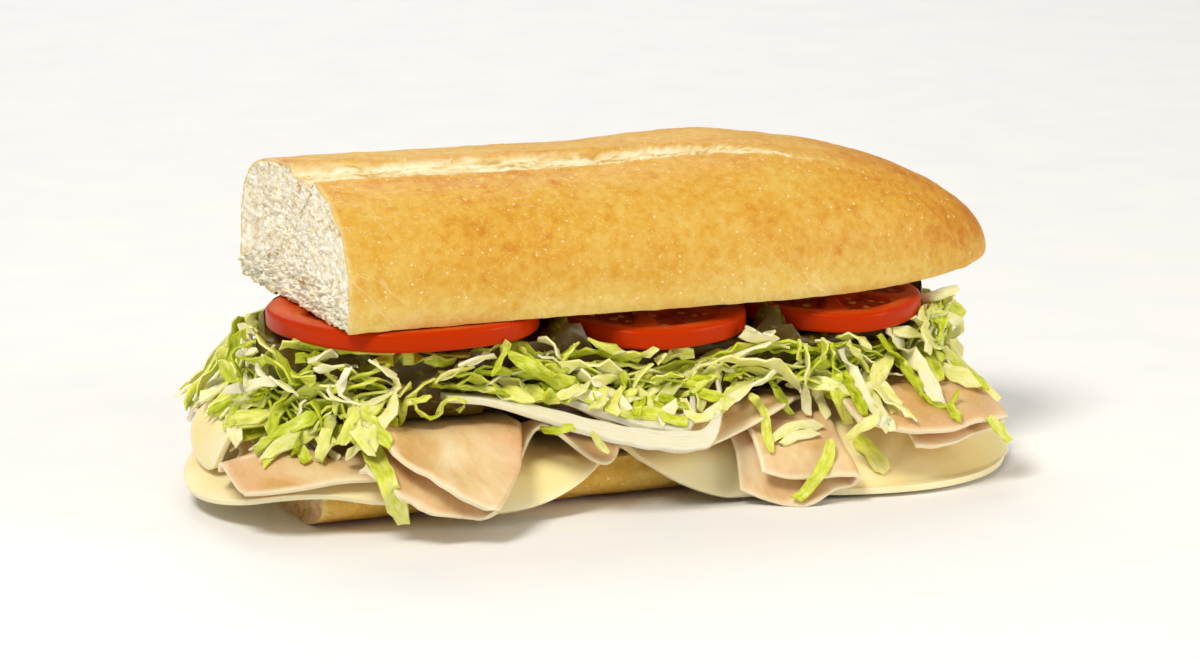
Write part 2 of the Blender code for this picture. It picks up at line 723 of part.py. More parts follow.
made += [
    tomato("tomato_1", (-0.060, -0.009), 0.0330, 0.0454, 0.0),
    tomato("tomato_2", (0.000, -0.015), 0.0250, 0.0422, 0.08),
    tomato("tomato_3", (0.050, -0.014), 0.0230, 0.0408, 0.06),
    tomato("tomato_4", (-0.017, 0.027), 0.0155, 0.0435, -0.10),
    tomato("tomato_5", (0.030, 0.026), 0.0175, 0.0422, -0.10),
]
lettuce(tree_of(made))
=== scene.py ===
"""Submarine sandwich: the looks of half a long roll filled with cheese, turkey, onion, lettuce and tomato.

X runs along the roll from the cut end to the round heel, -Y is the front and Z is up, in metres. The file
follows the sandwich as it is put together, from the lower half of the roll to the crown and the last shreds.
"""

import json
import math
import random

import bmesh
import bpy
from mathutils import Matrix, Vector, noise
from mathutils.bvhtree import BVHTree

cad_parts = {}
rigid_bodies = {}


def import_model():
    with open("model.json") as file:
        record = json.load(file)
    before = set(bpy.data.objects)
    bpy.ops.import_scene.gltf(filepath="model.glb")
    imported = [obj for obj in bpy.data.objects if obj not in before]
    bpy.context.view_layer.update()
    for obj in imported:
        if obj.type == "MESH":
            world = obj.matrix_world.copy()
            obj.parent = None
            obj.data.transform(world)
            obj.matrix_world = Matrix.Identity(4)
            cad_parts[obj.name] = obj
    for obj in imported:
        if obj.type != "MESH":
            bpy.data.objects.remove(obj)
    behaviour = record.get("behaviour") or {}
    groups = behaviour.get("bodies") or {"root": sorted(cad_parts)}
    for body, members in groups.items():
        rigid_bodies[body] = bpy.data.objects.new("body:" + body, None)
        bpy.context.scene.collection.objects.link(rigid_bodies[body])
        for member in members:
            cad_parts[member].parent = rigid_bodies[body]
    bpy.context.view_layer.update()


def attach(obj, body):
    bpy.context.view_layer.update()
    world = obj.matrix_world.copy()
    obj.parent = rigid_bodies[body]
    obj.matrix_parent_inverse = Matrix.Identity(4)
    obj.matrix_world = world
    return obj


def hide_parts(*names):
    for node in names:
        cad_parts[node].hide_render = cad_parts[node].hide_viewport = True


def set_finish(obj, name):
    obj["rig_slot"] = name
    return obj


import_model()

# The studio: a pale matt table top that runs out of sight, one large soft lamp above and in front of the
# cut end, a weaker one over the heel and one behind, in a bright room. The camera stands at the photograph's
# angle.
CAMERA_TURN = math.radians(-23)
CAMERA_RISE = math.radians(12.5)
CAMERA_DISTANCE = 1.4
CAMERA_TARGET = Vector((-0.00478, 0.00074, 0.03463))
FOCAL_PIXELS = 5670
IMAGE_SIZE = (1200, 660)

view_back = Vector((
    math.sin(CAMERA_TURN) * math.cos(CAMERA_RISE), -math.cos(CAMERA_TURN) * math.cos(CAMERA_RISE),
    math.sin(CAMERA_RISE),
))
view_right = Vector((0, 0, 1)).cross(view_back).normalized()
view_up = view_back.cross(view_right)
eye = CAMERA_TARGET + view_back * CAMERA_DISTANCE
camera_data = bpy.data.cameras.new("camera")
camera_data.sensor_width = 36
camera_data.lens = 36 * FOCAL_PIXELS / IMAGE_SIZE[0]
camera = bpy.data.objects.new("camera", camera_data)
camera.matrix_world = Matrix.Translation(eye) @ Matrix((view_right, view_up, view_back)).transposed().to_4x4()
bpy.context.scene.collection.objects.link(camera)
bpy.context.scene.camera = camera
bpy.context.scene.view_settings.view_transform = "Standard"


def hex_to_linear(colour):
    """An sRGB hex colour as the linear values that a shader takes."""
    values = [int(colour[i : i + 2], 16) / 255 for i in (1, 3, 5)]
    return [*(v / 12.92 if v <= 0.04045 else ((v + 0.055) / 1.055) ** 2.4 for v in values), 1]


def connect(node, sockets):
    """Feeds a node's inputs, by name or in order, each with a value or with the output linked to it."""
    for name, value in (sockets if isinstance(sockets, dict) else dict(enumerate(sockets))).items():
        if isinstance(value, bpy.types.NodeSocket):
            node.id_data.links.new(value, node.inputs[name])
        else:
            node.inputs[name].default_value = value


def add_node(tree, kind, sockets, stops=(), out=0, **settings):
    """Adds a node and gives its output out. stops colour a ramp, each (place, colour)."""
    node = tree.nodes.new("ShaderNode" + kind)
    for name, value in settings.items():
        setattr(node, name, value)
    connect(node, sockets)
    for index, (place, colour) in enumerate(stops):
        element = node.color_ramp.elements[index] if index < 2 else node.color_ramp.elements.new(place)
        element.position, element.color = place, hex_to_linear(colour)
    return node.outputs[out]


# A Mix node for colours has its share at input 0, the two colours at 6 and 7, and the result at output 2.
COLOURS = {"out": 2, "data_type": "RGBA"}


def start_material(name):
    """A new material, with its node tree, its shader and its Object coordinates."""
    material = bpy.data.materials.new(name)
    material.use_nodes = True
    tree = material.node_tree
    place = tree.nodes.new("ShaderNodeTexCoord").outputs["Object"]
    return material, tree, tree.nodes["Principled BSDF"], place


def softbox(name, place, size, watts, colour):
    lamp = bpy.data.lights.new(name, "AREA")
    lamp.shape, lamp.size, lamp.energy, lamp.color = "DISK", size, watts, hex_to_linear(colour)[:3]
    box = bpy.data.objects.new(name, lamp)
    box.location = place
    box.rotation_euler = (Vector((0, 0, 0.04)) - Vector(place)).to_track_quat("-Z", "Y").to_euler()
    bpy.context.scene.collection.objects.link(box)


softbox("key_softbox", (-0.72, -0.53, 1.16), 0.5, 14.6, "#FFF8EA")
softbox("heel_softbox", (1.00, -0.75, 0.36), 0.6, 6.2, "#FFF4E0")
softbox("back_softbox", (0.25, 1.00, 0.95), 0.9, 6.0, "#FFFDF8")
room = bpy.data.worlds.new("room")
room.use_nodes = True
connect(room.node_tree.nodes["Background"], {"Color": hex_to_linear("#FFFAF0"), "Strength": 0.33})
bpy.context.scene.world = room

# Coated board, rolled flat: a very faint mottling, and no gloss.
table_paint, tree, shader, place = start_material("matt coated board")
mottle = add_node(tree, "TexNoise", {"Vector": place, "Scale": 40.0, "Detail": 3.0})
tint = add_node(tree, "ValToRGB", {"Fac": mottle}, [(0.35, "#F4F7FE"), (0.65, "#F8FAFF")])
connect(shader, {"Base Color": tint, "Roughness": 0.85})
bm = bmesh.new()
bmesh.ops.create_grid(bm, x_segments=1, y_segments=1, size=6.0)
table_mesh = bpy.data.meshes.new("table_top")
bm.to_mesh(table_mesh)
bm.free()
table_mesh.materials.append(table_paint)
table_top = bpy.data.objects.new("table_top", table_mesh)
bpy.context.scene.collection.objects.link(table_top)

# The lower half of the roll: soft white crumb in a thin golden crust, sliced flat for the filling and cut
# square at one end. Its crust is baked browner than the crown's and darkest at the base, partly from the bake
# and partly as painted shade under the cheese, and the crumb of its cut end is painted tan brown as shade.
# Torn crumb stands up where the knife went.
BASE_ENDS = (-0.0916, 0.090)
BASE_HALF_WIDTH = 0.0372
BED_HEIGHT = 0.0115
BASE_SQUARENESS = 3.2
BASE_FLATTENING = 0.0012
BASE_TOP_SHARE = 0.94
HEEL_STARTS = 0.40
HEEL_ROUNDNESS = 2.4
CRUMB_RELIEF = 0.0008
CRUMB_PORE = 0.0022
CRUST_THICKNESS = 0.0009
FOLD_AT_BACK = 0.0100


def smooth(value):
    """Rises from 0 to 1 with level ends."""
    value = min(max(value, 0.0), 1.0)
    return value * value * (3 - 2 * value)


def between(share, start, end):
    return start + (end - start) * share


def bump(value, middle, width):
    return math.exp(-(((value - middle) / width) ** 2))


def signed_power(value, power):
    return math.copysign(abs(value) ** power, value)


def heel_taper(u, roundness):
    """How much of its full width the roll has at the share u of its length."""
    past = max(u - HEEL_STARTS, 0.0) / (1 - HEEL_STARTS)
    return max(1 - past**roundness, 0.0) ** 0.5


def base_point(u, v):
    """A place on the lower half: a flat top where v is under 0.3, then the crust sides and the base."""
    u = 1 - (1 - u) ** 1.35
    x = between(u, *BASE_ENDS)
    half_width = BASE_HALF_WIDTH * heel_taper(u, HEEL_ROUNDNESS)
    top_share = 0.3
    if v < top_share:
        return Vector((x, BASE_TOP_SHARE * half_width * (1 - 2 * v / top_share), BED_HEIGHT))
    turn = math.pi * (v - top_share) / (1 - top_share)
    power = 2 / BASE_SQUARENESS
    y = -half_width * signed_power(math.cos(turn), power)
    below = (BED_HEIGHT + BASE_FLATTENING) * heel_taper(u, 5.0) * math.sin(turn) ** power
    y *= between(smooth(below / 0.005), BASE_TOP_SHARE, 1.0)
    return Vector((x, y, max(BED_HEIGHT - below, 0.0)))


def base_dress(u, v, place):
    """(how much crumb shows, how dark the bake is) on the lower half. The crust is browner than the crown's
    and darkest at the underside: partly a base baked on the tray, partly painted shade under the overhanging
    cheese.
    """
    open_top = smooth((0.3 - v) / 0.012) * smooth(v / 0.012)
    # Darker towards the table: partly the bake of the base, partly painted shade.
    underside = smooth((0.004 - place.z) / 0.004)
    return open_top, 0.42 + 0.35 * underside + 0.25 * smooth((u - 0.75) / 0.25)


def crumb_height(place):
    """Relief of torn crumb: pores of a few sizes between ragged walls, from about -1 to 1."""
    pores = noise.voronoi(place / CRUMB_PORE)[0][0] - 0.55
    tufts = noise.fractal(place / (0.35 * CRUMB_PORE), 0.6, 2.0, 3)
    swells = noise.noise(place / (3.2 * CRUMB_PORE))
    fold = bump(place.y, FOLD_AT_BACK, 0.0012) * smooth((place.z - 0.058) / 0.01)
    return -0.9 * pores + 0.75 * tufts + 0.8 * swells - 1.6 * fold


def roll_half(name, along, around, rings, point, dress, end, material, node):
    """A half of the roll with its cut end closed by rings of crumb.

    dress gives how much crumb shows and how dark the bake is at a place, and end is that of the cut end.
    """
    bm = bmesh.new()
    bmesh.ops.create_grid(bm, x_segments=along + rings, y_segments=around, size=0.5)
    torn, bake = bm.verts.layers.float.new("torn"), bm.verts.layers.float.new("bake")
    middle = sum((point(0.0, k / 12) for k in range(12)), Vector()) / 12
    cut_end = middle.x
    for vert in bm.verts:
        step, v = (vert.co.x + 0.5) * (along + rings), vert.co.y + 0.5
        u = max(step - rings, 0.0) / along
        rim = point(u, v)
        vert[torn], vert[bake] = dress(u, v, rim)
        inner = min(step / rings, 1.0)
        vert.co = middle.lerp(rim, inner)
        if inner < 1 - CRUST_THICKNESS / (rim - middle).length:
            vert[torn], vert[bake] = end
        elif u == 0:
            vert[torn], vert[bake] = 0.35 * vert[torn] + 0.25, 0.28
    bmesh.ops.remove_doubles(bm, verts=bm.verts, dist=2e-6)
    bmesh.ops.recalc_face_normals(bm, faces=bm.faces)
    bm.normal_update()
    for vert in bm.verts:
        place = vert.co.copy()
        lumps = 0.00022 * noise.noise(place * 160) + 0.00010 * noise.noise(place * 520 + Vector((3, 1, 7)))
        near_cut = bump(place.x, cut_end, 0.004) * smooth((0.062 - place.z) / 0.01)
        ragged = CRUMB_RELIEF * crumb_height(place) * (1 + 1.3 * near_cut)
        vert.co += vert.normal * between(vert[torn], lumps, ragged)
        vert.co.z = max(vert.co.z, 0.0)
    return finished(name, bm, material, "crust", node)


def finished(name, bm, material, slot, *nodes):
    """The object of a finished mesh, smooth but for its sharp edges, on the sandwich's one body."""
    for edge in bm.edges:
        if len(edge.link_faces) == 2 and edge.calc_face_angle() > 1.05:
            edge.smooth = False
    mesh = bpy.data.meshes.new(name)
    bm.to_mesh(mesh)
    bm.free()
    mesh.materials.append(material)
    mesh.shade_smooth()
    piece = bpy.data.objects.new(name, mesh)
    bpy.context.scene.collection.objects.link(piece)
    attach(piece, "root")
    if nodes:
        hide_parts(*nodes)
    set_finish(piece, slot)
    return piece


# White bread, baked golden and torn open: the crust is a thin satin skin with fine blisters and flour specks,
# from straw where the oven hardly reached to orange brown, and the crumb is soft, matt and nearly white.
bread, tree, shader, place = start_material("baked white bread")
torn = add_node(tree, "Attribute", {}, out="Fac", attribute_name="torn")
bake = add_node(tree, "Attribute", {}, out="Fac", attribute_name="bake")
clouds = add_node(tree, "TexNoise", {"Vector": place, "Scale": 38.0, "Detail": 4.0, "Roughness": 0.6})
freckles = add_node(tree, "TexNoise", {"Vector": place, "Scale": 170.0, "Detail": 3.0})
grain = add_node(tree, "TexNoise", {"Vector": place, "Scale": 420.0, "Detail": 4.0, "Roughness": 0.65})
browned = add_node(tree, "MapRange", (clouds, 0.3, 0.7, -0.12, 0.12))
grained = add_node(tree, "MapRange", (grain, 0.3, 0.7, -0.13, 0.13))
freckled = add_node(tree, "MapRange", (freckles, 0.58, 0.74, 0.0, 0.14))
for darker in (grained, freckled, bake):
    browned = add_node(tree, "Math", (browned, darker), operation="ADD")
crust = add_node(
    tree, "ValToRGB", {"Fac": browned},
    [(0.0, "#EBD38E"), (0.25, "#E1C064"), (0.5, "#D8A63D"), (0.75, "#C88018"), (1.0, "#A0560A")],
)
# Flour specks and pin blisters: large ones 2 mm apart, and fine ones under 1 mm apart.
for spacing, size, share in ((2.3, 0.17, 0.75), (0.8, 0.28, 0.45)):
    cells = add_node(tree, "TexVoronoi", {"Vector": place, "Scale": 1000 / spacing})
    speck = add_node(tree, "MapRange", (cells, size / 2, size, share, 0.0))
    chosen = add_node(tree, "SeparateColor", {"Color": cells.node.outputs["Color"]})
    lucky = add_node(tree, "MapRange", (chosen, 0.45, 0.75))
    speck_share = add_node(tree, "Math", (speck, lucky), operation="MULTIPLY")
    crust = add_node(tree, "Mix", {0: speck_share, 6: crust, 7: hex_to_linear("#F8E7BA")}, **COLOURS)
# The skin wrinkled as the roll sprang in the oven: pale slanting lines some 8 mm apart, in patches.
slant = {"Vector": place, "Rotation": (0, math.radians(50), 0), "Scale": (6.0, 1.0, 1.0)}
slanting = add_node(tree, "Mapping", slant, vector_type="TEXTURE")
folds = add_node(tree, "TexNoise", {"Vector": slanting, "Scale": 150.0, "Detail": 3.0, "Distortion": 0.2})
off_line = add_node(tree, "Math", (folds, 0.5), operation="SUBTRACT")
from_line = add_node(tree, "Math", (off_line,), operation="ABSOLUTE")
wrinkle = add_node(tree, "MapRange", (from_line, 0.0, 0.018, 1.0, 0.0))
patches = add_node(tree, "TexNoise", {"Vector": place, "Scale": 21.0, "Detail": 1.0})
patch = add_node(tree, "MapRange", (patches, 0.42, 0.54))
wrinkles = add_node(tree, "Math", (wrinkle, patch), operation="MULTIPLY")
wrinkle_share = add_node(tree, "Math", (wrinkles, 0.40), operation="MULTIPLY")
crust = add_node(tree, "Mix", {0: wrinkle_share, 6: crust, 7: hex_to_linear("#F6DFA6")}, **COLOURS)
# Torn crumb: a tangle of threads under a millimetre thick, bright over darker pores.
tangle = {"Vector": place, "Scale": 500.0, "Detail": 3.0, "Roughness": 0.62, "Distortion": 1.2}
threads = add_node(tree, "TexNoise", tangle)
crumb = add_node(
    tree, "ValToRGB", {"Fac": threads}, [(0.28, "#C4A266"), (0.42, "#EFE2C0"), (0.57, "#FFFBEE")]
)
# Crumb that the oven reached, as in the slash, is straw coloured, and drawn out along the roll. The same
# tint, at a dark bake, is painted shade on the lower half's cut end.
drawn_out = add_node(tree, "Mapping", {"Vector": place, "Scale": (0.30, 1.0, 1.0)})
straws = add_node(tree, "TexNoise", {"Vector": drawn_out, "Scale": 380.0, "Detail": 4.0, "Distortion": 0.6})
straw = add_node(
    tree, "ValToRGB", {"Fac": straws}, [(0.34, "#CDA65C"), (0.45, "#E9D69E"), (0.60, "#F8EFCE")]
)
toast_and_painted_shade = add_node(tree, "MapRange", (bake, 0.1, 0.45))
crumb = add_node(tree, "Mix", {0: toast_and_painted_shade, 6: crumb, 7: straw}, **COLOURS)
skin = add_node(tree, "Mix", {0: torn, 6: crust, 7: crumb}, **COLOURS)
dryness = add_node(tree, "MapRange", (torn, 0.0, 1.0, 0.50, 0.95))
blisters = add_node(tree, "TexVoronoi", {"Vector": place, "Scale": 620.0}, feature="SMOOTH_F1")
pimples = add_node(tree, "Math", (blisters, grain), operation="ADD")
creased = add_node(tree, "Math", (wrinkles, pimples), operation="ADD")
crust_relief = add_node(tree, "Math", (creased, 0.30), operation="MULTIPLY")
relief = add_node(tree, "Mix", {0: torn, 2: crust_relief, 3: threads}, data_type="FLOAT")
bread_bump = add_node(tree, "Bump", {"Strength": 0.45, "Distance": 0.0009, "Height": relief})
connect(shader, {
    "Base Color": skin, "Roughness": dryness, "Normal": bread_bump, "Specular IOR Level": 0.28,
    "Subsurface Weight": 0.20, "Subsurface Radius": (1.0, 0.8, 0.6), "Subsurface Scale": 0.0008,
})

# The lower half's cut end gets a dark bake, so its crumb is painted tan brown: painted shade of the cheese
# over it.
roll_half("roll_bottom", 150, 150, 14, base_point, base_dress, (0.45, 0.80), bread, "bread_bottom")

# Provolone: four round slices laid like roof tiles along the roll, and half a slice folded over the cut end.
# The cheese is smooth, supple and a little translucent, sliced 1.5 mm thick, and it droops over the rim.
RIM_CUT_END = -0.0918
RIM_HEEL_END = 0.090
RIM_HALF_WIDTH = 0.036
CUT_CORNER = 0.006
HEEL_CORNER = 0.033
HANG_RADIUS = 0.006
FLARE_REACH = 0.014
FRONT_HANG = ((-0.10, 28), (-0.075, 44), (-0.057, 57), (-0.026, 62), (0.008, 64), (0.036, 40), (0.06, 38))
BACK_HANG = ((-0.092, 46), (-0.030, 58), (0.030, 60), (0.070, 50))
CUT_END_HANG = 21
HEEL_HANG = 62
CHEESE_THICKNESS = 0.0015
CHEESE_LIFT = 0.00035
CHEESE_STEP = 0.0019
CHEESE_OVERHANG = 0.0020
CHEESE_SAG = 0.0050
CHEESE_FLOOR = 0.0011
CHEESE_EDGE_ROUNDING = 0.0005
CHEESE_PALE_RIM = 0.0032
CHEESE_SLICES = {
    "cheese_1": {"centre": (-0.0745, -0.005), "radius": 0.0395, "under": None},
    "cheese_2": {"centre": (-0.050, -0.004), "radius": 0.0450, "under": "cheese_1"},
    "cheese_3": {"centre": (0.020, -0.007), "radius": 0.0450, "under": "cheese_2"},
    "cheese_4": {"centre": (0.054, -0.017), "radius": 0.0440, "under": "cheese_3"},
}


def between_stops(x, stops):
    """A value that runs smoothly from stop to stop. stops are (x, value) in order of x."""
    for (start, low), (end, high) in zip(stops, stops[1:]):
        if x < end:
            return between(smooth((x - start) / (end - start)), low, high)
    return stops[-1][1]


def rim_distance(x, y):
    """How far x, y lies outside the rim of the bread, and the outward direction there."""
    middle = (RIM_CUT_END + RIM_HEEL_END) / 2
    half_length = (RIM_HEEL_END - RIM_CUT_END) / 2
    corner = HEEL_CORNER if x > middle else CUT_CORNER
    over_x = abs(x - middle) - half_length + corner
    over_y = abs(y) - RIM_HALF_WIDTH + corner
    outside = math.hypot(max(over_x, 0.0), max(over_y, 0.0))
    distance = outside + min(max(over_x, over_y), 0.0) - corner
    if outside == 0:
        return distance, Vector((0, 0, 0))
    sign_x = math.copysign(1, x - middle)
    sign_y = math.copysign(1, y)
    return distance, Vector((sign_x * max(over_x, 0.0), sign_y * max(over_y, 0.0), 0)) / outside


def hang_angle(x, outward):
    side = between_stops(x, FRONT_HANG if outward.y < 0 else BACK_HANG)
    end = HEEL_HANG if outward.x > 0 else CUT_END_HANG
    return math.radians(side * outward.y**2 + end * outward.x**2)


def bed_point(x, y, lift):
    """Where the flat place x, y of a slice comes to lie: on the bread, or bent down over its rim."""
    distance, outward = rim_distance(x, y)
    if distance <= 0 or outward.length == 0:
        return Vector((x, y, BED_HEIGHT + lift))
    full = hang_angle(x, outward)
    turned = min(distance / HANG_RADIUS, full)
    straight = max(distance - HANG_RADIUS * full, 0.0)
    reach = HANG_RADIUS * math.sin(turned) + straight * math.cos(full) + lift * math.sin(turned)
    drop = HANG_RADIUS * (1 - math.cos(turned)) + straight * math.sin(full) - lift * math.cos(turned)
    rim = Vector((x, y, 0)) - outward * distance
    return rim + outward * reach + Vector((0, 0, BED_HEIGHT - drop))


def flare(x, y):
    """How far the slices have opened up at x, y: 0 on the bed, 1 at the ends of what hangs."""
    return smooth(rim_distance(x, y)[0] / FLARE_REACH)


def ripple(x, y, seed, size, height):
    """The slight unevenness of a soft slice, which fades where it lies on the bed."""
    return height * noise.noise(Vector((x / size, y / size, seed))) * (0.25 + 0.75 * flare(x, y))


def soft_slice(name, across, along, point, thickness, round_edge, rim_width, material, slot, node):
    """A thin sheet whose lower face is point(u, v), u and v -1 to 1, with its edges rounded by round_edge.

    The attribute edge is 1 at the rim of the slice and fades over rim_width, and spot gives each place its
    own way across the sheet.
    """
    bm = bmesh.new()
    bmesh.ops.create_grid(bm, x_segments=across, y_segments=along, size=1.0)
    edge = bm.verts.layers.float.new("edge")
    spot = bm.verts.layers.float_vector.new("spot")
    for vert in bm.verts:
        u, v = vert.co.x, vert.co.y
        vert.co = point(u, v)
        vert[spot] = Vector((u, v, 0))
    border = [vert.co.copy() for vert in bm.verts if vert.is_boundary]
    rim = BVHTree.FromPolygons(
        [p + o for p in border for o in (Vector(), Vector((1e-5, 0, 0)), Vector((0, 1e-5, 0)))],
        [(3 * i, 3 * i + 1, 3 * i + 2) for i in range(len(border))],
    )
    for vert in bm.verts:
        vert[edge] = 1 - smooth(rim.find_nearest(vert.co)[3] / rim_width)
    piece = finished(name, bm, material, slot, node)
    shell = piece.modifiers.new("thickness", "SOLIDIFY")
    shell.thickness = thickness
    shell.offset = 1.0
    shell.use_even_offset = True
    rounding = piece.modifiers.new("rounded_edge", "BEVEL")
    rounding.width = round_edge
    rounding.segments = 2
    rounding.limit_method = "ANGLE"
    rounding.angle_limit = math.radians(55)
    return piece


def disc_from_square(u, v):
    """Maps the square -1 to 1 onto a disc with even cells."""
    return u * math.sqrt(1 - v * v / 2), v * math.sqrt(1 - u * u / 2)


def cheese_lift(name, x, y):
    """The lift of a slice at x, y, which steps down off the edge of the slice under it."""
    under = CHEESE_SLICES[name]["under"]
    if not under:
        return CHEESE_LIFT
    middle = CHEESE_SLICES[under]["centre"]
    past = math.hypot(x - middle[0], y - middle[1]) - CHEESE_SLICES[under]["radius"] - CHEESE_OVERHANG
    return cheese_lift(under, x, y) + CHEESE_STEP * (1 - smooth(past / CHEESE_SAG))


def cheese_point(name, u, v):
    centre, radius = CHEESE_SLICES[name]["centre"], CHEESE_SLICES[name]["radius"]
    across, along = disc_from_square(u, v)
    x, y = centre[0] + radius * across, centre[1] + radius * along
    place = bed_point(x, y, cheese_lift(name, x, y))
    place.z = max(place.z, CHEESE_FLOOR)
    return place


# The half slice that bends down over the cut end, outside the others: its upper edge's x and z, its y from
# end to end, how far it bends, and how far it falls and bulges out in doing so.
FOLD_TOP = (-0.0975, 0.0248)
FOLD_ENDS = (-0.010, 0.014)
FOLD_BEND = math.radians(105)
FOLD_DROP = 0.0158
FOLD_BULGE = 0.0105


def folded_cheese_point(u, v):
    across, along = disc_from_square(u, v)
    turn = (1 - along) / 2 * FOLD_BEND
    fallen = (1 - math.cos(turn)) / (1 - math.cos(FOLD_BEND))
    y = between((across + 1) / 2, *FOLD_ENDS)
    return Vector((FOLD_TOP[0] - FOLD_BULGE * math.sin(turn), y, FOLD_TOP[1] - FOLD_DROP * fallen))


# Provolone, pressed and sliced cold: ivory to straw, a wet satin face, and light that soaks in a little.
provolone, tree, shader, place = start_material("sliced provolone")
rim = add_node(tree, "Attribute", {}, out="Fac", attribute_name="edge")
curd = add_node(tree, "TexNoise", {"Vector": place, "Scale": 55.0, "Detail": 3.0})
curd_tint = add_node(tree, "ValToRGB", {"Fac": curd}, [(0.35, "#FBE7A2"), (0.65, "#FDF0C2")])
rim_share = add_node(tree, "Math", (rim, 0.45), operation="MULTIPLY")
cheese_tint = add_node(tree, "Mix", {0: rim_share, 6: curd_tint, 7: hex_to_linear("#FAF3D6")}, **COLOURS)
smear = add_node(tree, "TexNoise", {"Vector": place, "Scale": 160.0, "Detail": 4.0})
wet = add_node(tree, "MapRange", (smear, 0.35, 0.65, 0.34, 0.52))
cheese_bump = add_node(tree, "Bump", {"Strength": 0.12, "Distance": 0.0004, "Height": smear})
connect(shader, {
    "Base Color": cheese_tint, "Roughness": wet, "Normal": cheese_bump,
    "Subsurface Weight": 0.40, "Subsurface Radius": (1.0, 0.86, 0.60), "Subsurface Scale": 0.0012,
})


def provolone_slice(name, cells, point, node):
    shape = point, CHEESE_THICKNESS, CHEESE_EDGE_ROUNDING, CHEESE_PALE_RIM
    soft_slice(name, cells, cells, *shape, provolone, "provolone", node)


for slice_name in CHEESE_SLICES:
    piece = slice_name.replace("cheese", "provolone")
    provolone_slice(piece, 64, lambda u, v: cheese_point(slice_name, u, v), slice_name)
provolone_slice("provolone_fold", 24, folded_cheese_point, "cheese_5")

# Turkey breast, sliced 1.1 mm thin, folded over or laid in waves, so that its cut edges hang in arcs over the
# cheese. The low slices lie straight on the cheese, and the high ones over them.
TURKEY_THICKNESS = 0.0011
TURKEY_EDGE_ROUNDING = 0.0003
TURKEY_PALE_RIM = 0.0017
FOLD_RADIUS = 0.0013
LANES = {"low": (0.0045, 0.0006), "high": (0.0090, 0.0026)}


def lane_lift(lane, x, y):
    start, opening = LANES[lane]
    return start + opening * flare(x, y)


def turkey_slice(name, across, along, point):
    shape = point, TURKEY_THICKNESS, TURKEY_EDGE_ROUNDING, TURKEY_PALE_RIM
    soft_slice(name.replace("turkey", "turkey_slice"), across, along, *shape, turkey, "turkey", name)


def folded_turkey(name, lane, crease, leaves, spread, reach, beyond, peak, falling, lean):
    """A slice folded once over a crease that runs from front to back, and open at both its ends by spread."""
    under, over = leaves

    def point(u, v):
        hang = reach[0] if v < 0 else reach[1]
        radius = FOLD_RADIUS + spread * flare(crease, abs(v) * (RIM_HALF_WIDTH + 0.7 * hang))
        arc = math.pi * radius
        run = (u + 1) / 2 * (under + arc + over)
        if run < under:
            offset, rise = run - under, 0.0
        elif run < under + arc:
            turn = (run - under) / radius
            offset, rise = radius * math.sin(turn), radius * (1 - math.cos(turn))
        else:
            offset, rise = -(run - under - arc), 2 * radius
        away = min(abs(offset + peak) / falling, 1.0)
        hang *= 1 - 0.85 * away**1.5
        hang += 0.0007 * noise.noise(Vector((run * 170, v * 3, crease * 90)))
        hang += beyond * smooth((under - run) / 0.012)
        y = (RIM_HALF_WIDTH + hang) * v
        x = crease + offset - lean * max(abs(y) - RIM_HALF_WIDTH, 0.0)
        return bed_point(x, y, lane_lift(lane, x, y) + rise + ripple(x, y, crease * 900, 0.011, 0.0005))

    turkey_slice(name, 110, 70, point)


def waved_turkey(name, lane, ends, reach, waves, roundness=0.35):
    """An open slice whose hanging edge stands up in waves, each (x, width, lift, shortening, side)."""
    middle, half_width = (ends[0] + ends[1]) / 2, (ends[1] - ends[0]) / 2

    def point(u, v):
        side = -1 if v < 0 else 1
        x = middle + half_width * u
        waving = [wave for wave in waves if wave[4] == side]
        edge = RIM_HALF_WIDTH + (reach[0] if v < 0 else reach[1])
        edge -= sum(cut * bump(x, at, 2 * width) for at, width, _, cut, _ in waving)
        y = edge * v * math.sqrt(1 - roundness * u**4)
        lifted = sum(rise * bump(x, at, width) for at, width, rise, _, _ in waving)
        wave = ripple(x, y, middle * 900, 0.012, 0.0004)
        return bed_point(x, y, lane_lift(lane, x, y) + lifted * smooth(abs(v) * 2.2 - 1.0) + wave)

    turkey_slice(name, 70, 80, point)


def crumpled_turkey(name, lane, ends, half_width, shortening, waves, height):
    """The slice that sticks out of the cut end. Its edge is in waves along Y, and shorter at the back."""

    def point(u, v):
        y = half_width * v * math.sqrt(1 - 0.35 * u**4)
        end = ends[0] + shortening * smooth((v + 0.5) / 0.3)
        x = between((u + 1) / 2, end, ends[1])
        rise = height * (0.5 - 0.5 * math.cos(math.tau * waves * (v + 1) / 2))
        wave = ripple(x, y, 5.0, 0.009, 0.0005)
        rise *= smooth((RIM_CUT_END - x + 0.006) / 0.014)
        return bed_point(x, y, lane_lift(lane, x, y) + rise + wave)

    turkey_slice(name, 50, 110, point)


# Cooked turkey breast, brined and sliced cold: tan with pinkish clouds, a moist sheen, a short grain and
# cream cut edges. Thin meat lets light through, so its shade is warm.
turkey, tree, shader, place = start_material("sliced turkey breast")
rim = add_node(tree, "Attribute", {}, out="Fac", attribute_name="edge")
stretch = add_node(tree, "Mapping", {"Vector": place, "Scale": (1.0, 0.35, 1.0), "Rotation": (0.2, 0.1, 0.5)})
grain = {"Vector": stretch, "Scale": 70.0, "Detail": 5.0, "Roughness": 0.6, "Distortion": 0.4}
muscle = add_node(tree, "TexNoise", grain)
meat = add_node(
    tree, "ValToRGB", {"Fac": muscle},
    [(0.32, "#D4A662"), (0.45, "#E0B983"), (0.57, "#EBCFA0"), (0.72, "#F4E4C0")],
)
blush = add_node(tree, "TexNoise", {"Vector": place, "Scale": 34.0, "Detail": 2.0})
blushing = add_node(tree, "MapRange", (blush, 0.48, 0.64, 0.0, 0.4))
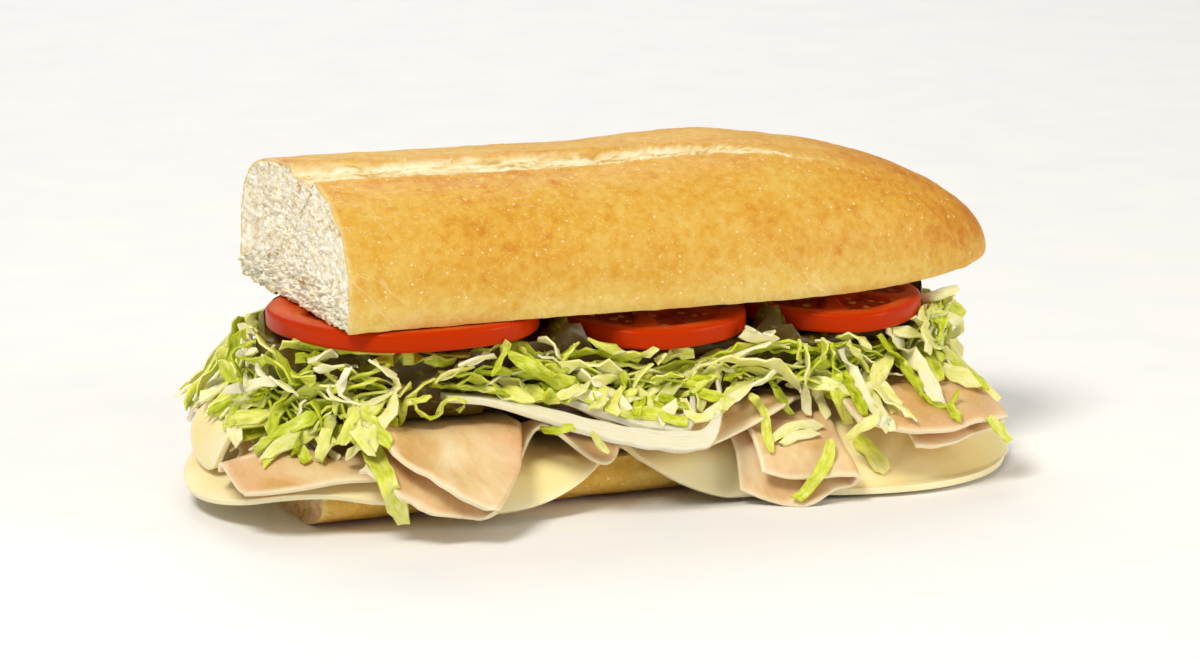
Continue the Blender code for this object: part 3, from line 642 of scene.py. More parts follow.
meat = add_node(tree, "Mix", {0: blushing, 6: meat, 7: hex_to_linear("#E8BE9C")}, **COLOURS)
rim_share = add_node(tree, "Math", (rim, 0.75), operation="MULTIPLY")
meat = add_node(tree, "Mix", {0: rim_share, 6: meat, 7: hex_to_linear("#FAEFD0")}, **COLOURS)
moist = add_node(tree, "MapRange", (muscle, 0.35, 0.65, 0.24, 0.44))
fibre = add_node(tree, "TexNoise", {"Vector": stretch, "Scale": 480.0, "Detail": 3.0})
fibres = add_node(tree, "Math", (fibre, 0.3), operation="MULTIPLY")
meat_relief = add_node(tree, "Math", (fibres, muscle), operation="ADD")
meat_bump = add_node(tree, "Bump", {"Strength": 0.4, "Distance": 0.0010, "Height": meat_relief})
connect(shader, {
    "Base Color": meat, "Roughness": moist, "Normal": meat_bump, "Coat Weight": 0.35, "Coat Roughness": 0.15,
    "Subsurface Weight": 0.35, "Subsurface Radius": (1.0, 0.66, 0.36), "Subsurface Scale": 0.0016,
})

crumpled_turkey("turkey_1", "low", (-0.109, -0.066), 0.0405, 0.009, 3, 0.0050)
folded_turkey("turkey_2", "high", -0.042, (0.038, 0.042), 0.0026, (0.0180, 0.0110), 0.0035, 0.0, 0.036, 1.05)
waved_turkey("turkey_3", "low", (-0.064, -0.016), (0.0105, 0.0120), [
    (-0.036, 0.006, 0.0048, 0.0100, -1),
    (-0.045, 0.010, 0.0015, 0.0060, 1),
    (-0.024, 0.007, 0.0012, 0.0, 1),
])
waved_turkey("turkey_4", "high", (-0.027, 0.036), (0.0065, 0.0130), [
    (-0.029, 0.007, 0.0045, 0.0040, -1),
    (0.024, 0.010, 0.0015, 0.0030, -1),
    (0.004, 0.012, 0.0040, 0.0050, 1),
])
folded_turkey("turkey_5", "low", 0.038, (0.026, 0.022), 0.0015, (0.0210, 0.0110), 0.0050, 0.0, 0.034, 0.10)
folded_turkey("turkey_6", "high", 0.076, (0.022, 0.036), 0.0015, (0.0160, 0.0110), 0.0010, 0.018, 0.028, 0.0)

# White onion: two arcs of one ring, cut 1.7 mm thick, that bow out over the turkey in front. Raw onion is wet
# and glassy, with fine lines that run round the ring.
ONION_LIFT = 0.0133
ONION_FLARE = 0.0020
ONION_WIDTH = 0.0048
ONION_BOW = 0.0075
ONION_THICKNESS = 0.0017
ONION_EDGE_ROUNDING = 0.0005
ONION_RIM = 0.0010


def onion_arc(name, ends, deepest, reach, rises):
    def point(u, v):
        x = between((u + 1) / 2, ends[0], ends[1])
        side = 0 if x < deepest else 1
        away = abs((x - deepest) / (ends[side] - deepest))
        y = -(RIM_HALF_WIDTH + reach - ONION_BOW * away**2)
        lift = ONION_LIFT + ONION_FLARE * flare(x, y) + rises[side] * away**1.5
        middle = bed_point(x, y, lift)
        across = (bed_point(x, y - 0.0002, lift) - middle).normalized()
        return middle - across * (ONION_WIDTH / 2 * v * (1 + 0.06 * math.sin(x * 700)))

    shape = point, ONION_THICKNESS, ONION_EDGE_ROUNDING, ONION_RIM
    soft_slice(name.replace("onion", "onion_ring"), 90, 8, *shape, onion, "onion", name)


# Raw white onion: wet cells that light passes into, so nearly white, faintly green grey in its depth.
onion, tree, shader, place = start_material("raw white onion")
spot = add_node(tree, "Attribute", {}, out="Vector", attribute_name="spot")
round_ring = add_node(tree, "Mapping", {"Vector": spot, "Scale": (3.0, 7.0, 1.0)})
lines = add_node(tree, "TexNoise", {"Vector": round_ring, "Scale": 1.6, "Detail": 4.0})
onion_tint = add_node(tree, "ValToRGB", {"Fac": lines}, [(0.35, "#E6E0C0"), (0.65, "#F5F1DE")])
onion_bump = add_node(tree, "Bump", {"Strength": 0.25, "Distance": 0.0003, "Height": lines})
connect(shader, {
    "Base Color": onion_tint, "Roughness": 0.22, "Normal": onion_bump,
    "Subsurface Weight": 0.6, "Subsurface Radius": (1.0, 0.95, 0.7), "Subsurface Scale": 0.004,
    "Coat Weight": 0.3, "Coat Roughness": 0.1,
})

onion_arc("onion_1", (-0.060, 0.012), -0.001, 0.0055, (0.0045, 0.0050))
onion_arc("onion_2", (-0.044, 0.006), -0.004, 0.0040, (0.0045, 0.0050))

# Tomato: five slices 5 mm thick between the lettuce and the crown, three along the front and two behind. Each
# has a tight glossy skin, firm walls between its seed pockets, and a pale heart.
TOMATO_THICKNESS = 0.0050
TOMATO_RIM_ROUNDING = 0.0012
POCKETS = 5


def tomato_lobes(turn, radius):
    return 1 + 0.018 * math.cos(5 * turn + radius * 900)


def pocket_share(radial, turn, radius):
    """How far a place on a slice's face lies inside a seed pocket, 0 to 1."""
    walls = abs(math.sin(POCKETS / 2 * turn + radius * 70))
    return smooth((walls - 0.28) / 0.3) * smooth((radial - 0.30) / 0.10) * smooth((0.84 - radial) / 0.07)


def tomato_slice(name, centre, radius, height, dip_front):
    """A slice from a spun profile: the top face inwards, the rounded skin, and the lower face."""
    bm = bmesh.new()
    half = TOMATO_THICKNESS / 2
    corner = TOMATO_RIM_ROUNDING
    profile = [Vector((radius * k / 26, 0, half)) for k in range(1, 25)]
    for step in range(7):
        turn = math.pi / 2 * (1 - step / 6)
        across, up = radius - corner + corner * math.cos(turn), half - corner + corner * math.sin(turn)
        profile.append(Vector((across, 0, up)))
    profile += [Vector((place.x, 0, -place.z)) for place in reversed(profile)]
    line = [bm.verts.new(place) for place in profile]
    edges = [bm.edges.new(pair) for pair in zip(line, line[1:])]
    bmesh.ops.spin(
        bm, geom=[*line, *edges], cent=(0, 0, 0), axis=(0, 0, 1), angle=math.tau, steps=120, use_merge=True,
    )
    bmesh.ops.remove_doubles(bm, verts=bm.verts, dist=1e-6)
    bmesh.ops.holes_fill(bm, edges=bm.edges, sides=0)
    spot, pocket = bm.verts.layers.float_vector.new("spot"), bm.verts.layers.float.new("pocket")
    for vert in bm.verts:
        turn = math.atan2(vert.co.y, vert.co.x)
        radial = math.hypot(vert.co.x, vert.co.y) / radius
        inside = pocket_share(radial, turn, radius) if abs(vert.co.z) > half - 1e-6 else 0.0
        vert[spot] = Vector((radial, turn / math.tau, 0))
        vert[pocket] = inside
        gel = inside * (0.0007 + 0.0004 * noise.noise(Vector((vert.co.x, vert.co.y, radius * 9)) * 420))
        vert.co.z -= math.copysign(gel, vert.co.z)
        lobes = tomato_lobes(turn, radius)
        skin = 1 + 0.004 * noise.noise(Vector((math.cos(turn) * 3, math.sin(turn) * 3, vert.co.z * 300)))
        vert.co.x *= lobes * skin
        vert.co.y *= lobes * skin
        vert.co.z += height + dip_front * vert.co.y
        vert.co.x += centre[0]
        vert.co.y += centre[1]
    bmesh.ops.recalc_face_normals(bm, faces=bm.faces)
    finished(name.replace("tomato", "tomato_slice"), bm, tomato, "tomato", name)


# Ripe tomato, cut with a sharp knife: deep red skin under a clear wax gloss, redder flesh with pale threads,
# and orange gel round straw seeds in the pockets.
tomato, tree, shader, place = start_material("ripe tomato")
pocket = add_node(tree, "Attribute", {}, out="Fac", attribute_name="pocket")
spot = add_node(tree, "Attribute", {}, out="Vector", attribute_name="spot")
radial = add_node(tree, "SeparateXYZ", {"Vector": spot})
flesh = add_node(tree, "TexNoise", {"Vector": place, "Scale": 150.0, "Detail": 4.0})
flesh_tint = add_node(tree, "ValToRGB", {"Fac": flesh}, [(0.32, "#C63A04"), (0.70, "#DA5C1A")])
skin_share = add_node(tree, "MapRange", (radial, 0.93, 0.98))
skinned = add_node(tree, "Mix", {0: skin_share, 6: flesh_tint, 7: hex_to_linear("#BC3000")}, **COLOURS)
seeds = add_node(tree, "TexVoronoi", {"Vector": place, "Scale": 330.0})
seed = add_node(tree, "MapRange", (seeds, 0.28, 0.36, 1.0, 0.0))
gel = add_node(tree, "Mix", {0: seed, 6: hex_to_linear("#A8340A"), 7: hex_to_linear("#E0A850")}, **COLOURS)
tomato_tint = add_node(tree, "Mix", {0: pocket, 6: skinned, 7: gel}, **COLOURS)
tomato_bump = add_node(tree, "Bump", {"Strength": 0.15, "Distance": 0.0004, "Height": flesh})
connect(shader, {
    "Base Color": tomato_tint, "Roughness": 0.32, "Normal": tomato_bump,
    "Specular IOR Level": 0.16, "Specular Tint": hex_to_linear("#FF9460"),
    "Subsurface Weight": 0.08, "Subsurface Radius": (1.0, 0.30, 0.20), "Subsurface Scale": 0.0010,
    "Coat Weight": 0.05, "Coat Roughness": 0.15,
})

tomato_slice("tomato_1", (-0.060, -0.009), 0.0330, 0.0454, 0.0)
tomato_slice("tomato_2", (0.000, -0.015), 0.0250, 0.0422, 0.08)
tomato_slice("tomato_3", (0.050, -0.014), 0.0230, 0.0408, 0.06)
tomato_slice("tomato_4", (-0.017, 0.027), 0.0155, 0.0435, -0.10)
tomato_slice("tomato_5", (0.030, 0.026), 0.0175, 0.0422, -0.10)

# The crown: the upper half of the roll, hollowed a little by the filling. The baker's slash runs along its
# top, a shallow band where the crumb tore open in the oven, between ragged lips of crust.
CROWN_LENGTH = 0.184
CROWN_SHIFT = 0.007
CROWN_HALF_WIDTH = 0.0385
CROWN_HEIGHTS = ((0.0, 0.0280), (0.15, 0.0280), (0.38, 0.0288), (0.66, 0.0332), (0.85, 0.0342))
CROWN_SQUARENESS = 2.5
CROWN_BACK_SQUARENESS = 3.2
CROWN_WIDEST_AT_CUT = 0.0535
CROWN_WIDEST_AT_HEEL = 0.0490
CROWN_TUCK_AT_CUT = 0.0052
CROWN_TUCK_AT_HEEL = 0.0029
CROWN_HOLLOW = 0.0068
UNDERSIDE_SHARE = 0.26
SLASH_DEPTH = 0.0016
SLASH_FRONT = ((0.0, -0.0139), (0.28, -0.0149), (0.43, -0.0133), (0.765, -0.0170))
SLASH_BACK = ((0.0, 0.0011), (0.38, -0.0018), (0.765, -0.0170))
SLASH_FULL_WIDTH = 0.010
FRONT_LIP, BACK_LIP = 0.0004, 0.0009


def slash_inside(u, y):
    """(how far inside the slash a place lies, in metres, how much the slash is open there)."""
    front, back = between_stops(u, SLASH_FRONT), between_stops(u, SLASH_BACK)
    at_front = y - front < back - y
    ragged = 0.0009 * noise.fractal(Vector((u * 34, 1.0 if at_front else 7.0, 0)), 0.7, 2.0, 3)
    return min(y - front, back - y) + ragged, min(max((back - front) / SLASH_FULL_WIDTH, 0.0), 1.0)


def crown_point(u, v):
    """A place on the crown: its underside where v is under UNDERSIDE_SHARE, then the sides and the dome."""
    u = 1 - (1 - u) ** 1.35
    x = CROWN_SHIFT - CROWN_LENGTH / 2 + CROWN_LENGTH * u
    taper = heel_taper(u, HEEL_ROUNDNESS)
    half_width = CROWN_HALF_WIDTH * taper
    height = between_stops(u, CROWN_HEIGHTS) * heel_taper(u, 2.6) ** 1.2
    widest = between(smooth(u / 0.8), CROWN_WIDEST_AT_CUT, CROWN_WIDEST_AT_HEEL)
    lip = between(smooth(u / 0.6), CROWN_TUCK_AT_CUT, CROWN_TUCK_AT_HEEL)
    tuck = lip * heel_taper(u, 4.0)
    tuck_turn = 0.22
    tuck_half_width = half_width * math.cos(tuck_turn) ** (2 / CROWN_SQUARENESS)
    if v < UNDERSIDE_SHARE:
        across = 1 - 2 * v / UNDERSIDE_SHARE
        hollow = (CROWN_HOLLOW - CROWN_TUCK_AT_CUT + lip) * smooth(u / 0.12) * taper**2
        hollow *= 1 - abs(across) ** 2.5
        return Vector((x, tuck_half_width * across, widest - tuck + hollow))
    share = (v - UNDERSIDE_SHARE) / (1 - UNDERSIDE_SHARE)
    turn = -tuck_turn + (math.pi + 2 * tuck_turn) * share
    power = 2 / (CROWN_SQUARENESS if turn < math.pi / 2 else CROWN_BACK_SQUARENESS)
    y = -half_width * signed_power(math.cos(turn), power)
    if math.sin(turn) < 0:
        rise = -tuck * (math.sin(turn) / math.sin(-tuck_turn))
    else:
        rise = height * math.sin(turn) ** power
    inside, open_share = slash_inside(u, y)
    rise -= SLASH_DEPTH * open_share * smooth(inside / 0.0014 + 0.5)
    rise += (FRONT_LIP if y < -0.012 else BACK_LIP) * open_share * bump(inside, -0.0012, 0.0012)
    return Vector((x, y, widest + rise))


def crown_dress(u, v, place):
    """(how much crumb shows, how dark the bake is) on the crown."""
    if v < UNDERSIDE_SHARE:
        return smooth((UNDERSIDE_SHARE - v) / 0.012) * smooth(v / 0.012), 0.3
    inside, open_share = slash_inside(1 - (1 - u) ** 1.35, place.y)
    low = smooth((0.060 - place.z) / 0.012)
    heel = smooth((u - 0.45) / 0.5)
    notch = bump(place.y, 0.0100, 0.0035) * smooth((0.030 - u) / 0.030) * smooth((place.z - 0.070) / 0.006)
    bake = 0.47 - 0.26 * low + 0.24 * heel + 0.06 * bump(inside, -0.004, 0.003) + 0.35 * notch
    return smooth(inside / 0.0008 + 0.5) * min(open_share * 6, 1.0), bake


roll_half("roll_crown", 200, 250, 60, crown_point, crown_dress, (1.0, 0.0), bread, "bread_top")

# Iceberg lettuce, shredded 3 to 6 mm wide: a heap between the meat and the tomato, whose middle is painted
# dark olive brown as the shade deep between the shreds, and hardly shows. The shreds lie over each other
# every way, and hang out over the rim all round.
CORE_HALF_WIDTH = 0.0375
CORE_ENDS = (-0.098, 0.086)
CORE_SQUARENESS = 4.0
CORE_MIDDLE = 0.0335
SHRED_VIEW = math.radians(30)
SHRED_FLOOR = 0.0026
SHRED_GAP = 0.0007
SHRED_STEP = 0.0024


def core_point(u, v):
    """A lumpy heap, which is then fitted between what lies under and over it."""
    x = between(u, *CORE_ENDS)
    end = max(1 - abs(2 * u - 1) ** 7, 0.0) ** 0.5
    heel = smooth((0.092 - x) / 0.055)
    turn = math.tau * v
    power = 2 / CORE_SQUARENESS
    lumps = 0.0010 * math.sin(x * 420) * math.sin(turn * 3 + x * 150)
    y = (CORE_HALF_WIDTH * between(heel, 0.72, 1.0) + lumps) * end * signed_power(math.cos(turn), power)
    return Vector((x, y, CORE_MIDDLE + 0.016 * between(end, 0.5, 1.0) * signed_power(math.sin(turn), power)))


def core_mesh(inset):
    """The heap's core, drawn in by inset all round."""
    bm = bmesh.new()
    bmesh.ops.create_grid(bm, x_segments=60, y_segments=40, size=0.5)
    for vert in bm.verts:
        vert.co = core_point(vert.co.x + 0.5, vert.co.y + 0.5)
    bmesh.ops.remove_doubles(bm, verts=bm.verts, dist=1e-6)
    bmesh.ops.holes_fill(bm, edges=bm.edges, sides=0)
    bmesh.ops.recalc_face_normals(bm, faces=bm.faces)
    for vert in bm.verts:
        vert.co.x *= 1 + inset / CORE_ENDS[0]
        vert.co.y *= 1 - inset / CORE_HALF_WIDTH
    return bm


def fit_between(bm, neighbours):
    """Pulls the heap's top and bottom in until it clears all that it meets."""
    for _ in range(60):
        bm.faces.ensure_lookup_table()
        crossed = BVHTree.FromBMesh(bm).overlap(neighbours)
        touched = {vert for face, _ in crossed for vert in bm.faces[face].verts}
        if not touched:
            break
        for vert in touched:
            vert.co.z = between(0.08, vert.co.z, CORE_MIDDLE)


def tree_of(objects):
    """One search tree over the finished shapes of these objects."""
    graph = bpy.context.evaluated_depsgraph_get()
    verts, faces = [], []
    for obj in objects:
        mesh = obj.evaluated_get(graph).to_mesh()
        mesh.calc_loop_triangles()
        offset = len(verts)
        verts += [v.co.copy() for v in mesh.vertices]
        faces += [[offset + i for i in triangle.vertices] for triangle in mesh.loop_triangles]
        obj.evaluated_get(graph).to_mesh_clear()
    return BVHTree.FromPolygons(verts, faces)


bpy.context.view_layer.update()
around_heap = tree_of([piece for piece in bpy.data.objects if piece.get("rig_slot") and piece.type == "MESH"])
outer = core_mesh(0.0)
fit_between(outer, around_heap)
heap = BVHTree.FromBMesh(outer)
outer.free()


def level_off(heights, step):
    """Raises a path's heights so that they fall by no more than step from one to the next, either way."""
    for order in (range(1, len(heights)), range(len(heights) - 2, -1, -1)):
        for k in order:
            heights[k] = max(heights[k], heights[k - order.step] - step)


def path_down(side, start, turn, length, width, lift, tip):
    """A shred's path down the side of the heap that faces the direction side.

    start is (place along that side, height), and turn the way the shred runs from there, as seen from
    SHRED_VIEW above. lift is how far it stands off the heap, and tip how much further its end does.
    """
    outward = Vector((math.cos(side), math.sin(side), 0))
    along = Vector((-outward.y, outward.x, 0))
    view = outward * math.cos(SHRED_VIEW) + Vector((0, 0, math.sin(SHRED_VIEW)))
    rising = view.cross(along)
    far = 0.16
    middle = along * start[0] + Vector((0, 0, start[1]))
    found, _, _, distance = heap.ray_cast(middle + outward * far, -outward, far)
    if not found:
        return []
    root = middle + outward * (far - distance)
    way = along * math.cos(turn) + rising * math.sin(turn)
    across = view.cross(way) * (0.40 * width)
    steps = math.ceil(length / 0.0014)
    flats, outs, faces = [], [], []
    for step in range(steps + 1):
        share = step / steps
        curl = way.lerp(rising * -1, 0.25 * share).normalized()
        place = root + curl * (length * share)
        inner = heap.ray_cast(place + view * far, -view, 2 * far)
        levels = [far - inner[3] + lift] if inner[0] else []
        facing = inner[1]
        for aside in (across, -across, 0 * across):
            hit = around_heap.ray_cast(place + aside + view * far, -view, 2 * far)
            if hit[0] and far - hit[3] > -0.03:
                levels.append(far - hit[3] + SHRED_GAP)
                if not inner[0] or hit[3] < inner[3]:
                    facing = hit[1]
        flats.append(place)
        outs.append(max(levels) if levels else (outs[-1] - SHRED_GAP if outs else 0.0))
        faces.append(((facing or outward) + view).normalized())
    level_off(outs, 0.0008)
    path = []
    for step, (place, out, face) in enumerate(zip(flats, outs, faces)):
        place = place + view * (out + tip * (step / steps) ** 2)
        place.z = max(place.z, SHRED_FLOOR)
        path.append((place, face))
    return path


# Where nothing is behind a shred, it stands in this plane across the sandwich.
AIR_PLANE = -0.012


def photo_ray(x, y):
    """The direction from the eye through a pixel of the photograph."""
    way = view_right * (x - IMAGE_SIZE[0] / 2) - view_up * (y - IMAGE_SIZE[1] / 2) - view_back * FOCAL_PIXELS
    return way.normalized()


def path_seen(pixels, lift):
    """The path of a shred that shows in the photograph through these pixels.

    It lies on what is behind it, or sticks out into the air over the middle of the sandwich.
    """
    points = [Vector((*pixel, 0)) for pixel in pixels]
    points = [2 * points[0] - points[1], *points, 2 * points[-1] - points[-2]]
    rays, depths, faces = [], [], []
    for k in range(1, len(points) - 2):
        before, start, end, after = points[k - 1 : k + 3]
        steps = max(round((end - start).length / 5), 2)
        for step in range(steps + (k == len(points) - 3)):
            t = step / steps
            spot = 0.5 * (
                2 * start + (end - before) * t + (2 * before - 5 * start + 4 * end - after) * t**2
                + (3 * start - before - 3 * end + after) * t**3
            )
            ray = photo_ray(spot.x, spot.y)
            hits = [(heap.ray_cast(eye, ray), lift), (around_heap.ray_cast(eye, ray), min(lift, 0.0013))]
            near = [(hit[3] - off, hit[1]) for (hit, off) in hits if hit[0]]
            rays.append(ray)
            depths.append(-min(near)[0] if near else None)
            faces.append(min(near)[1] if near else view_back)
    last = next((depth for depth in depths if depth is not None), None)
    for k, (ray, depth) in enumerate(zip(rays, depths)):
        if last is None:
            last = -(AIR_PLANE - eye.y) / ray.y
        last = depths[k] = last - 0.0004 if depth is None else depth
    level_off(depths, 0.0010)
    path = []
    for ray, depth, face in zip(rays, depths, faces):
        place = eye + ray * -depth
        place.z = max(place.z, SHRED_FLOOR)
        path.append((place, (face + view_back).normalized()))
    return path


def spaced(path):
    """A path again, with its points about SHRED_STEP apart, and its length."""
    runs = [0.0]
    for (before, _), (after, _) in zip(path, path[1:]):
        runs.append(runs[-1] + (after - before).length)
    steps = min(max(round(runs[-1] / SHRED_STEP), 4), 16)
    places, index = [], 0
    for step in range(steps + 1):
        run = runs[-1] * step / steps
        while index < len(path) - 2 and runs[index + 1] < run:
            index += 1
        share = min((run - runs[index]) / max(runs[index + 1] - runs[index], 1e-9), 1.0)
        places.append([a.lerp(b, share) for a, b in zip(path[index], path[index + 1])])
    return places, runs[-1]


def add_shred(bm, path, width, thickness, twist, cup, tones, rng):
    """Adds one shred to the mesh: a thin ribbon, cupped across, with a slanted cut at each end.

    tones are how green it is at its two ends, 0 for the white rib and 0.8 for the outer leaf; past that the
    tint runs on to a dark olive brown at 1, painted shade, which the veins can push the greenest shreds
    towards.
    """
    path, length = spaced(path)
    steps = len(path) - 1
    tone_layer, blade_layer = bm.verts.layers.float["tone"], bm.verts.layers.float_vector["blade"]
    phase, slant, mark = rng.uniform(0, 9), rng.uniform(-0.5, 0.5), rng.uniform(0, 50)
    rows = []
    for k, (place, face) in enumerate(path):
        along = (path[min(k + 1, steps)][0] - path[max(k - 1, 0)][0]).normalized()
        across = along.cross(face).normalized()
        share = k / steps
        turn = twist * (share - 0.4) + 0.25 * math.sin(phase + 7 * share)
        lean = across * math.cos(turn) + along.cross(across) * math.sin(turn)
        out = lean.cross(along) if lean.cross(along).dot(face) > 0 else along.cross(lean)
        wide = width * (1 + 0.10 * math.sin(phase * 3 + share * 11) - 0.4 * abs(2 * share - 1) ** 4)
        row = []
        for side in (-1, 0, 1):
            frill = math.sin(phase + 23 * share * (1 + 0.2 * side) + 2.4 * side)
            torn = 1 + 0.12 * noise.noise(Vector((phase * 9 + 2.2 * k, 7.0 * side, mark)))
            rise = cup * wide * (side * side - 0.5) + (0.0002 + 0.0003 * abs(side)) * frill
            spot = place + lean * (0.5 * wide * torn * side) + out * rise
            if k in (0, steps):
                spot += along * (slant * wide * side)
            row.append(spot)
        rows.append((row, out, between(share, *tones), share * length))
    verts = []
    for skin in (0.5, -0.5):
        sheet = []
        for row, out, tone, run in rows:
            line = []
            for side, spot in zip((-1, 0, 1), row):
                vert = bm.verts.new(spot + out * (skin * thickness))
                vert[tone_layer] = tone
                vert[blade_layer] = Vector((side * 0.5 * width, run, mark))
                line.append(vert)
            sheet.append(line)
        verts.append(sheet)
    upper, lower = verts
    for k in range(steps):
        for s in (0, 1):
            bm.faces.new((upper[k][s], upper[k][s + 1], upper[k + 1][s + 1], upper[k + 1][s]))
            bm.faces.new((lower[k][s], lower[k + 1][s], lower[k + 1][s + 1], lower[k][s + 1]))
        bm.faces.new((upper[k][0], upper[k + 1][0], lower[k + 1][0], lower[k][0]))
        bm.faces.new((upper[k][2], lower[k][2], lower[k + 1][2], upper[k + 1][2]))
    for end, order in ((0, 1), (steps, -1)):
        for s in (0, 1):
            corners = (upper[end][s], lower[end][s], lower[end][s + 1], upper[end][s + 1])
            bm.faces.new(corners[::order])


def shred_mesh():
    bm = bmesh.new()
    bm.verts.layers.float.new("tone")
    bm.verts.layers.float_vector.new("blade")
    return bm


# Iceberg leaf: crisp, wet and half see-through, from white ribs over pale yellow green to the outer leaf's
# green, with fine veins along the shred. Past the green the tint runs into a dark olive brown, painted shade
# for the heap's core.
lettuce, tree, shader, place = start_material("iceberg lettuce")
tone = add_node(tree, "Attribute", {}, out="Fac", attribute_name="tone")
blade = add_node(tree, "Attribute", {}, out="Vector", attribute_name="blade")
ribs = add_node(tree, "Mapping", {"Vector": blade, "Scale": (900.0, 260.0, 1.0)})
veins = add_node(tree, "TexNoise", {"Vector": ribs, "Scale": 1.0, "Detail": 4.0, "Roughness": 0.6})
veined = add_node(tree, "MapRange", (veins, 0.3, 0.7, -0.20, 0.18))
leaf_tone_and_shade = add_node(tree, "Math", (veined, tone), operation="ADD")
# The last stop, dark olive brown, is painted shade, not a leaf colour.
leaf_tint = add_node(tree, "ValToRGB", {"Fac": leaf_tone_and_shade}, [
    (0.0, "#FFF8D8"), (0.20, "#F7F4B6"), (0.40, "#E8EC7C"), (0.60, "#CCD835"), (0.80, "#A2B00C"),
    (1.0, "#5E480A"),
])
leaf_bump = add_node(tree, "Bump", {"Strength": 0.35, "Distance": 0.0004, "Height": veins})
connect(shader, {
    "Base Color": leaf_tint, "Roughness": 0.38, "Normal": leaf_bump, "Specular IOR Level": 0.35,
    "Subsurface Weight": 0.50, "Subsurface Radius": (1.0, 1.0, 0.70), "Subsurface Scale": 0.0010,
    "Coat Weight": 0.08, "Coat Roughness": 0.2,
})

inner = core_mesh(0.0055)
tone_layer, blade_layer = inner.verts.layers.float.new("tone"), inner.verts.layers.float_vector.new("blade")
fit_between(inner, around_heap)
# The core's tone lies past the greenest leaf, so it is painted dark olive brown: painted shade for the deep
# gaps between the shreds.
for vert in inner.verts:
    vert[tone_layer] = 1.08 + 0.2 * noise.noise(vert.co * 260)
    vert[blade_layer] = Vector((0.3 * vert.co.x, 1.3 * vert.co.z, vert.co.y))
    vert.co.y *= 1 + 0.05 * noise.noise(vert.co * 240)
bmesh.ops.recalc_face_normals(inner, faces=inner.faces)
finished("lettuce_heap", inner, lettuce, "lettuce", "lettuce")

# The shreds drawn at random: how many, how long and wide, and how green a shred may be at its root.
SHRED_COUNT = 500
SHRED_LENGTHS = (0.016, 0.042)
SHRED_WIDTHS = (0.0026, 0.0048)
SHRED_THICKNESSES = (0.0004, 0.0007)
SHRED_STARTS = (0.0265, 0.0438)
SHRED_TONES = (0.12, 0.3, 0.38, 0.46, 0.54, 0.62, 0.7)
HEAP_ENDS = (-0.106, 0.091)
SEED = 11
# The lowest that shreds hang in front, along x: two heavy tufts, and little between them.
FRONT_REACH = (
    (-0.102, 0.0175), (-0.080, 0.0215), (-0.068, 0.0330), (-0.052, 0.0330), (-0.030, 0.0285),
    (-0.012, 0.0260), (0.006, 0.0260), (0.022, 0.0270), (0.034, 0.0225), (0.050, 0.0220), (0.062, 0.0280),
    (0.080, 0.0230),
)
BACK_REACH = 0.0205
HEAP_TOP = 0.0445
SHRED_SIDES = (180, 205, 225, 250, 270, 270, 270, 270, 290, 310, 330, 0, 30, 60, 90, 90, 90, 90, 120, 150)


def lowest(x, y):
    return between_stops(x, FRONT_REACH) if y < 0 else BACK_REACH


# The onion lies over the lettuce and the tomato on it, so that the shreds end where they come to them.
clear_of = tree_of([piece for piece in bpy.data.objects if piece.name.startswith(("onion", "tomato"))])
rng = random.Random(SEED)
loose = shred_mesh()
for _ in range(SHRED_COUNT):
    bearing = rng.choice(SHRED_SIDES) + rng.uniform(-12, 12)
    side = math.radians(bearing)
    half = between(abs(math.sin(side)), 0.030, 0.086)
    start = (rng.uniform(-half, half), rng.uniform(*SHRED_STARTS))
    length, width = rng.uniform(*SHRED_LENGTHS), rng.uniform(*SHRED_WIDTHS)
    # A long shred lies nearly level, or hangs down as far as those around it.
    slack = rng.uniform(-0.003, 0.003)
    bottom = lowest(0.09 * math.cos(side) - start[0] * math.sin(side), math.sin(side))
    room = max(start[1] - slack - bottom, 0.003)
    fall = math.asin(min(room / length, 1.0)) * rng.uniform(0.1, 1.0)
    turn = -fall if rng.random() < 0.5 else fall - math.pi
    deep = 150 < bearing < 340
    lift = rng.uniform(-0.0055, -0.0010) if deep else rng.uniform(-0.0045, 0.0010)
    path = path_down(side, start, turn, length, width, lift, rng.uniform(-0.001, 0.001 if deep else 0.004))
    path = [
        step for k, step in enumerate(path)
        if all(
            lowest(p.x, p.y) + slack < p.z < HEAP_TOP and HEAP_ENDS[0] < p.x < HEAP_ENDS[1]
            for p, _ in path[: k + 1]
        )
    ]
    tops = [place + view_up * (0.6 * width) for place, _ in path]
    bare = [k for k, top in enumerate(tops) if clear_of.ray_cast(top, (top - eye).normalized(), 0.04)[0]]
    path = path[: bare[0]] if bare else path
    if len(path) < 6:
        continue
    root = rng.choice(SHRED_TONES)
    tones = (root, min(max(root + rng.uniform(-0.2, 0.2), 0.0), 0.8))
    thickness, twist = rng.uniform(*SHRED_THICKNESSES), rng.uniform(-0.9, 0.9)
    add_shred(loose, path, width, thickness, twist, rng.uniform(-0.2, 0.2), tones, rng)
bmesh.ops.recalc_face_normals(loose, faces=loose.faces)
finished("lettuce_shreds", loose, lettuce, "lettuce")

